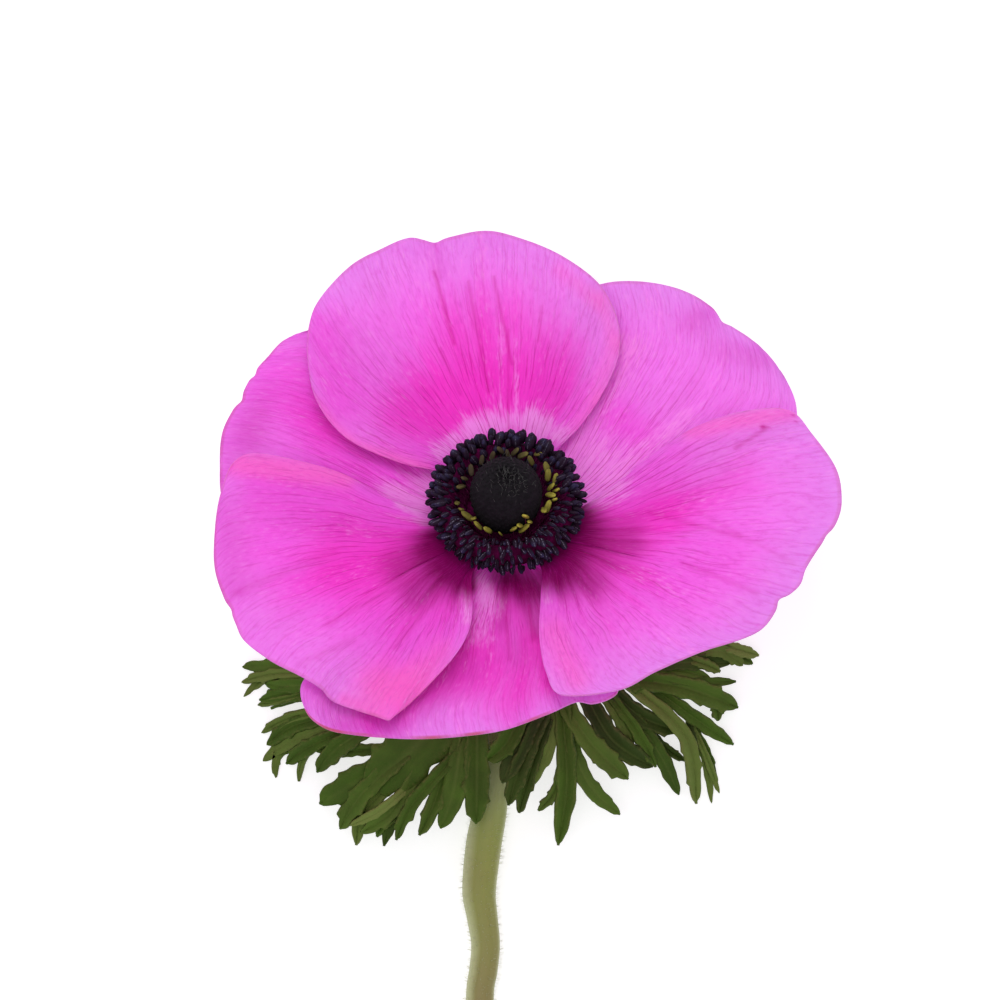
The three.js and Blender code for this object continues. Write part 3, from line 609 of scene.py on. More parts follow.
def finish_piece(piece, node):
    activate(piece)
    bpy.ops.object.shade_smooth()
    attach(piece, "root")
    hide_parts(node)


def in_bloom(points):
    """Metres in the flower's frame from millimetres in the bloom's"""
    x, y, z = np.asarray(points, float).reshape(-1, 3).T
    placed = (
        BLOOM_PLACE[0] + x,
        BLOOM_PLACE[1] + y * COS_TILT + z * SIN_TILT,
        BLOOM_HEIGHT - y * SIN_TILT + z * COS_TILT,
    )
    return np.stack(placed, -1) * MM


def on_table(points):
    """Metres in the flower's frame from millimetres round the bloom's middle"""
    x, y, z = np.asarray(points, float).reshape(-1, 3).T
    return np.stack((BLOOM_PLACE[0] + x, BLOOM_PLACE[1] + y, z), -1) * MM


def close_seams(piece):
    """Merge the doubled points where a sheet meets itself, and turn its faces outward"""
    activate(piece)
    bpy.ops.object.mode_set(mode="EDIT")
    bpy.ops.mesh.select_all(action="SELECT")
    bpy.ops.mesh.remove_doubles(threshold=SEAM_GAP)
    bpy.ops.mesh.normals_make_consistent(inside=False)
    bpy.ops.object.mode_set(mode="OBJECT")


def revolved(name, profile, sides):
    """A closed form turned round the bloom's axis from radii and heights"""
    piece = sheet(name, sides, len(profile) - 1)
    angles = np.linspace(0, TAU, sides + 1)
    points = [(r * math.cos(a), r * math.sin(a), h) for r, h in profile for a in angles]
    place_points(piece, in_bloom(points))
    close_seams(piece)
    return piece


def join(pieces, name):
    bpy.ops.object.select_all(action="DESELECT")
    for piece in pieces:
        piece.select_set(True)
    bpy.context.view_layer.objects.active = pieces[0]
    bpy.ops.object.join()
    pieces[0].name = name
    pieces[0].data.name = name
    return pieces[0]


def copies(name, template, placements):
    """One mesh of many copies of a template, each moved by its own matrix"""
    mesh = template.data
    count = len(mesh.vertices)
    flat = np.zeros(count * 3)
    mesh.vertices.foreach_get("co", flat)
    points = flat.reshape(-1, 3)
    pieces = []
    for matrix in placements:
        m = np.array(matrix)
        copy = template.copy()
        copy.data = mesh.copy()
        moved = points @ m[:3, :3].T + m[:3, 3]
        copy.data.vertices.foreach_set("co", moved.astype(np.float32).ravel())
        bpy.context.collection.objects.link(copy)
        pieces.append(copy)
    whole = join(pieces, name)
    bpy.data.objects.remove(template)
    return whole


CURVE_STEPS = 24


def catmull_rom(points, steps):
    """A uniform curve through points of any size, with doubled ends"""
    known = np.array([points[0], *points, points[-1]], float)
    shares = np.arange(steps) / steps
    line = []
    for a, b, c, d in zip(known, known[1:], known[2:], known[3:]):
        for t in shares:
            u, v = (c - a) / 2, (d - b) / 2
            line.append(
                (2 * b - 2 * c + u + v) * t**3 + (-3 * b + 3 * c - 2 * u - v) * t**2 + u * t + b
            )
    line.append(known[-1])
    return np.array(line)


def along_line(line, shares):
    """Points at shares of a polyline's length"""
    steps = np.linalg.norm(np.diff(line[:, :2], axis=0), axis=1)
    reached = np.concatenate(([0], np.cumsum(steps)))
    wanted = np.asarray(shares) * reached[-1]
    return np.stack([np.interp(wanted, reached, column) for column in line.T], -1)


# ---------------------------------------------------------------- node helpers


class Tree:
    """Short words for laying out a node tree"""

    def __init__(self, tree):
        self.tree = tree

    def node(self, kind, **settings):
        made = self.tree.nodes.new(kind)
        for key, value in settings.items():
            setattr(made, key, value)
        return made

    def put(self, value, socket):
        if isinstance(value, bpy.types.NodeSocket):
            self.tree.links.new(value, socket)
        else:
            socket.default_value = value

    def math(self, operation, a, b=0.5, c=0.5):
        made = self.node("ShaderNodeMath", operation=operation)
        for value, socket in zip((a, b, c), made.inputs):
            self.put(value, socket)
        return made.outputs[0]

    def mix(self, factor, a, b):
        made = self.node("ShaderNodeMix", data_type="RGBA")
        self.put(factor, made.inputs["Factor"])
        for value, socket in ((a, made.inputs[6]), (b, made.inputs[7])):
            self.put(value if isinstance(value, bpy.types.NodeSocket) else (*value, 1), socket)
        return made.outputs[2]

    def band(self, value, low, high):
        """0 below low, 1 above high, smooth between"""
        made = self.node("ShaderNodeMapRange", interpolation_type="SMOOTHSTEP")
        self.put(value, made.inputs["Value"])
        self.put(low, made.inputs["From Min"])
        self.put(high, made.inputs["From Max"])
        return made.outputs["Result"]

    def noise(self, vector, scale, detail=2.0, roughness=0.5):
        made = self.node("ShaderNodeTexNoise", noise_dimensions="3D")
        self.put(vector, made.inputs["Vector"])
        self.put(scale, made.inputs["Scale"])
        self.put(detail, made.inputs["Detail"])
        self.put(roughness, made.inputs["Roughness"])
        return made.outputs["Fac"]

    def mask(self, name):
        return self.node("ShaderNodeAttribute", attribute_name=name).outputs["Fac"]

    def combine(self, x, y, z):
        made = self.node("ShaderNodeCombineXYZ")
        for value, socket in zip((x, y, z), made.inputs):
            self.put(value, socket)
        return made.outputs[0]

    def object_place(self):
        return self.node("ShaderNodeTexCoord").outputs["Object"]


def new_group(name, inputs, outputs):
    """A node group whose named inputs and outputs are all numbers"""
    group = bpy.data.node_groups.new(name, "ShaderNodeTree")
    for direction, labels in (("INPUT", inputs), ("OUTPUT", outputs)):
        for label in labels:
            group.interface.new_socket(name=label, in_out=direction, socket_type="NodeSocketFloat")
    tree = Tree(group)
    return group, tree, tree.node("NodeGroupInput"), tree.node("NodeGroupOutput")


def fibre_group():
    """Streaks that run along V of a UV map, the finer ones branching off further out"""
    name = "Fibre streaks"
    if name in bpy.data.node_groups:
        return bpy.data.node_groups[name]
    group, tree, given, result = new_group(
        name, ("Fibres", "Stretch", "Seed"), ("Coarse", "Fine", "Lines")
    )
    uv = tree.node("ShaderNodeUVMap", uv_map="UVMap").outputs[0]
    apart = tree.node("ShaderNodeSeparateXYZ")
    tree.put(uv, apart.inputs[0])
    across, along = apart.outputs["X"], apart.outputs["Y"]
    fibres, stretch, seed = given.outputs["Fibres"], given.outputs["Stretch"], given.outputs["Seed"]

    def streaks(share, lengthwise, detail, offset):
        wide = tree.math("MULTIPLY", across, tree.math("MULTIPLY", fibres, share))
        long = tree.math("MULTIPLY", along, tree.math("MULTIPLY", stretch, lengthwise))
        place = tree.combine(wide, long, tree.math("ADD", seed, offset))
        return tree.noise(place, 1.0, detail, 0.55)

    coarse = streaks(0.5, 0.6, 2.0, 0.0)
    fine = streaks(3.0, 9.0, 2.0, 7.3)

    def lines(count_share, thin, offset):
        sway = tree.noise(tree.combine(across, along, tree.math("ADD", seed, offset)), 4.0, 1.0)
        jitter = tree.math("MULTIPLY", streaks(1.0, 4.0, 1.0, offset), 0.35)
        swayed = tree.math("MULTIPLY_ADD", sway, 0.04, across)
        turns = tree.math("MULTIPLY_ADD", swayed, tree.math("MULTIPLY", fibres, count_share), jitter)
        turns = tree.math("MULTIPLY_ADD", coarse, 1.1, turns)
        teeth = tree.math("PINGPONG", tree.math("ADD", turns, offset), 0.5)
        return tree.band(teeth, thin, 0.0)

    main = lines(1.0, 0.13, 0.0)
    branches = tree.math("MULTIPLY", lines(2.0, 0.16, 0.3), tree.band(along, 0.15, 0.5))
    either = tree.math("MAXIMUM", main, tree.math("MULTIPLY", branches, 0.75))
    broken = tree.math("MULTIPLY", either, tree.band(streaks(1.4, 1.8, 1.0, 3.1), 0.36, 0.62))
    tree.put(coarse, result.inputs["Coarse"])
    tree.put(fine, result.inputs["Fine"])
    tree.put(broken, result.inputs["Lines"])
    return group


def mottle_group():
    """Soft blotches in the object's own coordinates"""
    name = "Soft mottle"
    if name in bpy.data.node_groups:
        return bpy.data.node_groups[name]
    group, tree, given, result = new_group(name, ("Per metre",), ("Blotch", "Grain"))
    place = tree.object_place()
    density = given.outputs["Per metre"]
    tree.put(tree.noise(place, density, 3.0), result.inputs["Blotch"])
    tree.put(tree.noise(place, tree.math("MULTIPLY", density, 8.0), 2.0, 0.6), result.inputs["Grain"])
    return group


def use_group(tree, group, **values):
    made = tree.node("ShaderNodeGroup", node_tree=group)
    for label, value in values.items():
        tree.put(value, made.inputs[label.replace("_", " ")])
    return made.outputs


def new_material(name, roughness, **settings):
    """A material, its tree and its surface shader"""
    material = bpy.data.materials.new(name)
    material.use_nodes = True
    tree = Tree(material.node_tree)
    shader = material.node_tree.nodes["Principled BSDF"]
    shader.inputs["Roughness"].default_value = roughness
    for label, value in settings.items():
        shader.inputs[label.replace("_", " ")].default_value = value
    return material, tree, shader


def bump(tree, shader, height, distance, strength):
    made = tree.node("ShaderNodeBump")
    made.inputs["Strength"].default_value = strength
    made.inputs["Distance"].default_value = distance
    tree.put(height, made.inputs["Height"])
    tree.put(made.outputs[0], shader.inputs["Normal"])


# ---------------------------------------------------------------- materials


def petal_material(colours):
    material, tree, shader = new_material(
        "Petal face", 0.55, Specular_IOR_Level=0.04, Subsurface_Weight=0.3, Subsurface_Scale=0.0014,
        Subsurface_Radius=(1.0, 0.35, 0.8),
    )
    seed = tree.mask("seed")
    fibres = use_group(tree, fibre_group(), Fibres=44.0, Stretch=2.8, Seed=seed)
    mottle = use_group(tree, mottle_group(), Per_metre=160.0)
    coarse, fine, lines = fibres["Coarse"], fibres["Fine"], fibres["Lines"]
    blotch, grain = mottle["Blotch"], mottle["Grain"]

    def streaky(name, low, high, reach):
        """A stain whose edge is combed out along the fibres"""
        combed = tree.math("MULTIPLY_ADD", tree.math("SUBTRACT", coarse, 0.5), reach, tree.mask(name))
        return tree.band(combed, low, high)

    shade = tree.band(tree.math("MULTIPLY_ADD", blotch, 0.4, coarse), 0.45, 0.95)
    colour = tree.mix(shade, colours.lilac, colours.bright)
    colour = tree.mix(tree.mask("margin"), colour, colours.margin)
    colour = tree.mix(streaky("glow", 0.0, 1.0, 0.35), colour, colours.warm)
    colour = tree.mix(streaky("hot", 0.05, 0.95, 0.7), colour, colours.hot)
    # Painted shade in folds and under overlapping edges
    colour = tree.mix(tree.mask("shade_and_grain"), colour, colours.shade_and_grain)
    # Painted highlight along the rims
    lit_rim_share = tree.math("MULTIPLY", streaky("lit_rim", 0.0, 1.0, 0.3), 0.77)
    colour = tree.mix(lit_rim_share, colour, colours.lit_rim)
    # Pale base streaks, and painted light lifting shade near the ring and under overlapping edges
    combed = tree.math("MULTIPLY_ADD", tree.math("SUBTRACT", fine, 0.5), 1.2, tree.mask("pale_and_lit"))
    combed = tree.math("MULTIPLY_ADD", tree.math("SUBTRACT", coarse, 0.5), 1.3, combed)
    colour = tree.mix(tree.band(combed, 0.1, 1.0), colour, colours.pale_and_lit)
    # Dark wine base, with the stamen ring's painted shadow
    colour = tree.mix(streaky("wine_and_shadow", 0.05, 0.9, 0.5), colour, colours.wine_and_shadow)
    light = tree.math("MULTIPLY", tree.band(fine, 0.5, 0.75), tree.mask("dashes"))
    colour = tree.mix(light, colour, colours.dash)
    # Fine dark grain, in the same dull colour
    dark = tree.math("MULTIPLY", tree.band(fine, 0.5, 0.25), 0.26)
    colour = tree.mix(dark, colour, colours.shade_and_grain)
    vein = tree.math("MULTIPLY", lines, tree.mask("veins"))
    colour = tree.mix(vein, colour, colours.vein)
    colour = tree.mix(tree.mask("line"), colour, colours.vein)
    dry = tree.math("MULTIPLY", tree.mask("rim"), tree.band(blotch, 0.3, 0.6))
    colour = tree.mix(dry, colour, colours.rim)
    tree.put(colour, shader.inputs["Base Color"])
    relief = tree.math("MULTIPLY_ADD", lines, -0.6, fine)
    relief = tree.math("MULTIPLY_ADD", grain, 0.5, relief)
    bump(tree, shader, relief, distance=0.00012, strength=0.6)
    return material


def petal_back_material(colours):
    material, tree, shader = new_material(
        "Petal back", 0.6, Specular_IOR_Level=0.1, Sheen_Weight=0.25, Sheen_Roughness=0.5
    )
    fibres = use_group(tree, fibre_group(), Fibres=40.0, Stretch=2.0, Seed=tree.mask("seed"))
    mottle = use_group(tree, mottle_group(), Per_metre=140.0)
    colour = tree.mix(fibres["Coarse"], colours.back, colours.lilac)
    colour = tree.mix(tree.math("MULTIPLY", mottle["Blotch"], 0.4), colour, colours.pale_and_lit)
    colour = tree.mix(tree.math("MULTIPLY", tree.mask("root"), 0.7), colour, srgb(0xB8B890))
    colour = tree.mix(tree.math("MULTIPLY", fibres["Lines"], 0.35), colour, colours.vein)
    tree.put(colour, shader.inputs["Base Color"])
    bump(tree, shader, fibres["Fine"], distance=0.0001, strength=0.5)
    return material


def tinted_material(name, roughness, dark, light, per_metre, depth, **settings):
    """A surface that varies between two colours in soft blotches, with a fine grain"""
    material, tree, shader = new_material(name, roughness, **settings)
    mottle = use_group(tree, mottle_group(), Per_metre=per_metre)
    colour = tree.mix(tree.band(mottle["Blotch"], 0.35, 0.7), dark, light)
    tree.put(colour, shader.inputs["Base Color"])
    bump(tree, shader, mottle["Grain"], distance=depth, strength=0.6)
    return material, tree, shader, colour, mottle


def anther_material(name, dark, tip, line):
    """Dark skin, lighter towards the tip with a painted sheen, and a thin line here and there along the
    groove: a pale painted glint on the outer anthers, painted shade on the inner ones
    """
    material, tree, shader, colour, mottle = tinted_material(
        name, 0.6, dark, scaled(dark, 0.55), 900.0, 0.00005, Specular_IOR_Level=0.12
    )
    apart = tree.node("ShaderNodeSeparateXYZ")
    tree.put(tree.node("ShaderNodeUVMap", uv_map="UVMap").outputs[0], apart.inputs[0])
    outer = tree.band(apart.outputs["Y"], 0.3, 1.0)
    # Lighter towards the tip: partly the tip's colour, partly painted sheen
    colour = tree.mix(tree.math("MULTIPLY", outer, tree.band(mottle["Blotch"], 0.4, 0.65)), colour, tip)
    colour = tree.mix(tree.mask("brown"), colour, srgb(0x3C2E2C))
    # A thin line along the groove: painted glint on the outer anthers, painted shade on the inner
    from_groove = tree.math("PINGPONG", tree.math("ADD", apart.outputs["X"], 0.25), 0.25)
    groove_glint_and_shade = tree.math("MULTIPLY", tree.band(from_groove, 0.05, 0.0), tree.band(mottle["Grain"], 0.45, 0.6))
    colour = tree.mix(tree.math("MULTIPLY", groove_glint_and_shade, tree.mask("glint")), colour, line)
    tree.put(colour, shader.inputs["Base Color"])
    return material


def leaf_material(colours):
    leaf, light = colours.leaf, colours.leaf_pale_and_lit
    material, tree, shader = new_material("Leaf", 0.6, Specular_IOR_Level=0.1)
    mottle = use_group(tree, mottle_group(), Per_metre=260.0)
    fibres = use_group(tree, fibre_group(), Fibres=9.0, Stretch=5.0, Seed=tree.mask("seed"))
    colour = tree.mix(tree.band(mottle["Blotch"], 0.3, 0.7), scaled(leaf, 0.7), leaf)
    # Painted light on lit lobes, over their own lighter tone
    colour = tree.mix(tree.mask("light"), colour, light)
    # Painted shade towards the roots and on shaded lobes, over their own darker tone
    colour = tree.mix(tree.mask("dark"), colour, colours.leaf_dark_and_shade)
    colour = tree.mix(tree.math("MULTIPLY", fibres["Coarse"], 0.16), colour, light)
    colour = tree.mix(tree.math("MULTIPLY", tree.mask("rib"), 0.18), colour, light)
    worn = tree.math("MULTIPLY", tree.mask("edge"), tree.band(mottle["Grain"], 0.35, 0.65))
    colour = tree.mix(tree.math("MULTIPLY", worn, 0.2), colour, colours.leaf_edge)
    tree.put(colour, shader.inputs["Base Color"])
    relief = tree.math("MULTIPLY_ADD", fibres["Fine"], 0.5, mottle["Grain"])
    bump(tree, shader, relief, distance=0.00012, strength=0.7)
    return material


def stem_material(colours):
    material, tree, shader = new_material("Stem", 0.5, Specular_IOR_Level=0.3)
    mottle = use_group(tree, mottle_group(), Per_metre=200.0)
    fibres = use_group(tree, fibre_group(), Fibres=22.0, Stretch=9.0, Seed=0.5)
    colour = tree.mix(tree.mask("brown"), colours.stem, colours.stem_brown)
    # Painted highlights on the flanks, and painted light on the stretch round LIT_START
    colour = tree.mix(tree.math("MULTIPLY", tree.mask("painted_highlight"), 0.85), colour, colours.stem_highlight)
    shaded = scaled(colours.stem, 0.6)
    colour = tree.mix(tree.math("MULTIPLY", fibres["Coarse"], 0.5), colour, shaded)
    colour = tree.mix(tree.math("MULTIPLY", mottle["Blotch"], 0.35), colour, colours.stem_brown)
    tree.put(colour, shader.inputs["Base Color"])
    bump(tree, shader, fibres["Coarse"], distance=0.0002, strength=0.5)
    return material


def plain_hair_material(name, colour):
    material, tree, shader = new_material(name, 0.6, Specular_IOR_Level=0.2)
    mottle = use_group(tree, mottle_group(), Per_metre=500.0)
    tree.put(tree.mix(mottle["Blotch"], scaled(colour, 0.7), colour), shader.inputs["Base Color"])
    return material


# ---------------------------------------------------------------- petals


def root_point(petal, share):
    angle = np.radians(petal["azimuth"] + ROOT_HALF_ANGLE * (1 - 2 * share))
    x = ROOT_RADIUS * np.cos(angle)
    y = ROOT_RADIUS * np.sin(angle) * COS_TILT + petal["lift"] * SIN_TILT
    return np.stack((x, y), -1)


def petal_outline(petal):
    """The outline as a fine line, and how far along it the two shoulders lie"""
    ends = [root_point(petal, np.array(share)) for share in (0.0, 1.0)]
    points = [ends[0], *petal["outline"], ends[1]]
    line = catmull_rom(points, CURVE_STEPS)
    reached = np.concatenate(([0], np.cumsum(np.linalg.norm(np.diff(line, axis=0), axis=1))))
    shoulders = [reached[index * CURVE_STEPS] / reached[-1] for index in petal["shoulders"]]
    middle = np.mean(petal["outline"], axis=0)
    for x, y, depth, width in petal["nicks"]:
        away = np.linalg.norm(line - (x, y), axis=1)
        inward = middle - (x, y)
        inward /= np.linalg.norm(inward)
        line = line + np.exp(-((away / width) ** 2))[:, None] * depth * inward
    return line, shoulders


def petal_plan(petal, across, along):
    """Points of a petal seen from above, blended from its root, sides and margin"""
    line, (first, second) = petal_outline(petal)
    left = along_line(line, first * along)
    right = along_line(line, 1 - (1 - second) * along)
    margin = along_line(line, first + (second - first) * across)
    root = root_point(petal, across)
    across, along = across[..., None], along[..., None]
    corners = [root_point(petal, np.array(share)) for share in (0.0, 1.0)]
    shoulders = along_line(line, np.array([first, second]))
    sides = left * (1 - across) + right * across
    ends = root * (1 - along) + margin * along
    near = corners[0] * (1 - across) + corners[1] * across
    far = shoulders[0] * (1 - across) + shoulders[1] * across
    return sides + ends - near * (1 - along) - far * along


def petal_relief(petal, side, along):
    """Folds and ripples finer than the frame's, by place across from -1 to 1 and along"""
    phase = petal["phase"]
    crease = -0.28 * np.exp(-((side / 0.018) ** 2)) + 0.16 * np.exp(-((side / 0.075) ** 2))
    crease *= np.clip(along * 6, 0, 1) * np.clip(1.15 - along, 0, 1)
    folds = 0.17 * np.sin(13 * side + 2 * phase) + 0.1 * np.sin(23 * side - phase)
    folds *= np.clip(along * 2, 0, 1)
    frill = 0.22 * np.sin(17 * side + 3 * phase) + 0.16 * np.sin(31 * side + phase)
    frill *= along**7
    puckers = 0.03 * np.sin(47 * side + 5 * np.sin(6 * along)) * np.clip(along * 3, 0, 1)
    return crease + folds + frill + puckers


HEIGHT_ROUNDS = 16


def petal_surface(petal, plan, side, along):
    """Heights along the bloom's axis and places up its face for points seen from above"""
    x, seen_y = plan[..., 0], plan[..., 1]
    y = seen_y / COS_TILT
    height = np.zeros_like(y)
    half = SOLID_THICKNESS / 2
    for _ in range(HEIGHT_ROUNDS):
        reach = np.clip((np.hypot(x, y) - BOWL_START) / BOWL_SPAN, 0, 1)
        bowl = BOWL_DEPTH * np.sin(reach * math.pi / 2) ** 1.5
        ripple = petal["ripple"] * np.sin(5 * side + petal["phase"]) * along**2
        height = petal["lift"] + bowl + petal["cup"] * side**2 * along + ripple
        height = height + petal_relief(petal, side, along)
        table = (y * SIN_TILT - BLOOM_HEIGHT) / COS_TILT
        height = np.maximum(height, table + half)
        y = (seen_y - height * SIN_TILT) / COS_TILT
    return y, height


def stain_mask(kind, stains, plan):
    """How strongly the strokes of one kind cover each point"""
    bare = np.ones(plan.shape[:-1])
    for start, end, radius, strength in stains.get(kind, []):
        start, end = np.array(start), np.array(end)
        run = end - start
        share = np.clip(((plan - start) @ run) / max(run @ run, 1e-9), 0, 1)
        away = np.linalg.norm(plan - start - share[..., None] * run, axis=-1)
        bare *= 1 - strength * np.exp(-((away / radius) ** 2))
    return 1 - bare


STAIN_KINDS = ("hot", "pale_and_lit", "wine_and_shadow", "lit_rim", "shade_and_grain", "line")
PETAL_COLUMNS = 180
PETAL_ROWS = 120


class ANEMONE_OT_petals(bpy.types.Operator):
    """Build the six petals"""

    bl_idname = "anemone.petals"
    bl_label = "Petals"

    def execute(self, context):
        settings = context.scene.anemone_petals
        face = petal_material(settings)
        back = petal_back_material(settings)
        for index, petal in enumerate(PETALS):
            self.build(petal, index, settings.thickness, (face, back))
        return {"FINISHED"}

    def build(self, petal, index, thickness, materials):
        piece = sheet(petal["name"] + "_leaf", PETAL_COLUMNS, PETAL_ROWS)
        across, along = np.meshgrid(
            np.linspace(0, 1, PETAL_COLUMNS + 1), np.linspace(0, 1, PETAL_ROWS + 1) ** 0.85
        )
        side = 2 * across - 1
        plan = petal_plan(petal, across, along)
        y, height = petal_surface(petal, plan, side, along)
        place_points(piece, in_bloom(np.stack((plan[..., 0], y, height), -1)))
        self.paint(piece, petal, plan, along)
        set_mask(piece, "seed", np.full(side.shape, 3.7 * index))
        self.thin_rim(piece, across, along)
        for material in materials:
            piece.data.materials.append(material)
        add_modifier(
            piece, "Wall", "SOLIDIFY", thickness=thickness, offset=0, vertex_group="thin",
            thickness_vertex_group=0.05, material_offset=1, use_even_offset=False,
        )
        apply_modifiers(piece)
        finish_piece(piece, petal["name"])

    def paint(self, piece, petal, plan, along):
        """Masks for the stains, some of them painted light and shade, the inner glow, the margin, the veins
        and the root
        """
        stains = {kind: stain_mask(kind, petal["stains"], plan) for kind in STAIN_KINDS}
        for kind, mask in stains.items():
            set_mask(piece, kind, mask)
        spread = petal["glow"] * np.clip(1.35 - 1.45 * along, 0, 1) ** 1.2
        set_mask(piece, "glow", 1 - (1 - spread) * (1 - stain_mask("glow", petal["stains"], plan)))
        set_mask(piece, "margin", petal["margin"] * np.clip(4 * along - 3, 0, 1) ** 1.5)
        deep = np.maximum(stains["wine_and_shadow"], stains["hot"])
        set_mask(piece, "dashes", (0.05 + 0.08 * along) * (1 - 0.75 * deep))
        fading = np.clip(1.3 - 1.35 * along, 0.22, 1)
        set_mask(piece, "veins", 0.85 * fading * (1 - 0.55 * stains["wine_and_shadow"]))
        set_mask(piece, "rim", petal["rim"] * (along > 0.99))
        set_mask(piece, "root", np.clip(1 - 5 * along, 0, 1))

    def thin_rim(self, piece, across, along):
        """Weights of the thickness, full in the middle and slight at the sides and margin"""
        rim = np.minimum(np.minimum(across, 1 - across) * 14, (1 - along) * 9)
        thin = piece.vertex_groups.new(name="thin")
        for vertex, share in enumerate(np.clip(0.3 + 0.7 * rim, 0, 1).ravel()):
            thin.add([vertex], share, "REPLACE")


# ---------------------------------------------------------------- middle of the bloom


def pistil_radius(height):
    reach = PISTIL_TAPER if height < PISTIL_WIDEST else PISTIL_TOP - PISTIL_WIDEST
    return PISTIL_RADIUS * math.sqrt(max(1 - ((height - PISTIL_WIDEST) / reach) ** 2, 0))


def pose(place, direction, roll=0.0, scale=(1, 1, 1)):
    """A matrix that lays a template's +X along a direction at a place"""
    turn = Vector(direction).normalized().to_track_quat("X", "Z").to_matrix().to_4x4()
    return Matrix.Translation(place) @ turn @ Matrix.Rotation(roll, 4, "X") @ Matrix.Diagonal((*scale, 1))


def tube_template(name, sides, stations, profile):
    """A closed tube from a grid rolled up round +X. profile(share, angle) gives x, y and z"""
    piece = sheet(name, sides, stations)
    around, along = np.meshgrid(np.linspace(0, TAU, sides + 1), np.linspace(0, 1, stations + 1))
    points = np.array([profile(s, -a) for s, a in zip(along.ravel(), around.ravel())])
    place_points(piece, points)
    close_seams(piece)
    return piece


def anther_template(length, width):
    """Two plump lobes side by side with a groove between them, blunt behind and narrow in front"""

    def profile(share, angle):
        swell = max(math.sin(math.pi * share**0.9), 0) ** 0.36
        groove = 0.34 + 0.66 * abs(math.cos(angle)) ** 0.5
        radius = width / 2 * swell * groove
        return (length * (share - 0.5), radius * math.cos(angle), 0.8 * radius * math.sin(angle))

    return tube_template("anther", 14, 7, profile)


def filament_template():
    def profile(share, angle):
        radius = 0.5 * (1 - 0.35 * share) * (0 if share in (0, 1) else 1)
        return (share, radius * math.cos(angle), radius * math.sin(angle))

    return tube_template("filament", 5, 5, profile)


def bloom_matrix():
    place = Matrix.Translation((BLOOM_PLACE[0] * MM, BLOOM_PLACE[1] * MM, BLOOM_HEIGHT * MM))
    return place @ Matrix.Rotation(-BLOOM_TILT, 4, "X") @ Matrix.Scale(MM, 4)


# Each row's radius, height, count, elevation of the anthers and size
ANTHER_ROWS = [
    (6.5, 4.2, 26, 60, 0.72),
    (7.1, 5.4, 30, 62, 0.8),
    (7.8, 6.1, 36, 55, 0.92),
    (8.5, 6.2, 40, 46, 1.0),
    (9.1, 5.7, 42, 36, 1.06),
    (9.5, 4.8, 44, 22, 1.08),
    (9.6, 3.7, 44, 8, 1.06),
    (9.4, 2.6, 44, -8, 1.0),
    (9.0, 1.5, 42, -20, 0.92),
]
ANTHER_SEED = 11
STALK_WIDTH = 0.2
BED_SIDES = 72
RING_RISE = 5 * SIN_TILT  # how far the ring's height moves it up the view from above


def ring_place(radius, height, angle):
    return Vector((radius * math.cos(angle), radius * math.sin(angle), height))


def stalk(foot, head, width):
    """A matrix that stretches the filament's template from its foot to its head"""
    run = head - foot
    return pose(foot, run, 0.0, (run.length, width, width))


def out_direction(angle, elevation):
    level = math.cos(elevation)
    return Vector((level * math.cos(angle), level * math.sin(angle), math.sin(elevation)))


def plan_angles(piece):
    """Angle of each vertex round the middle of the bloom, seen from above"""
    flat = np.zeros(len(piece.data.vertices) * 3)
    piece.data.vertices.foreach_get("co", flat)
    x, y, _ = flat.reshape(-1, 3).T / MM
    return np.arctan2(y - BLOOM_PLACE[1] - RING_RISE, x - BLOOM_PLACE[0])


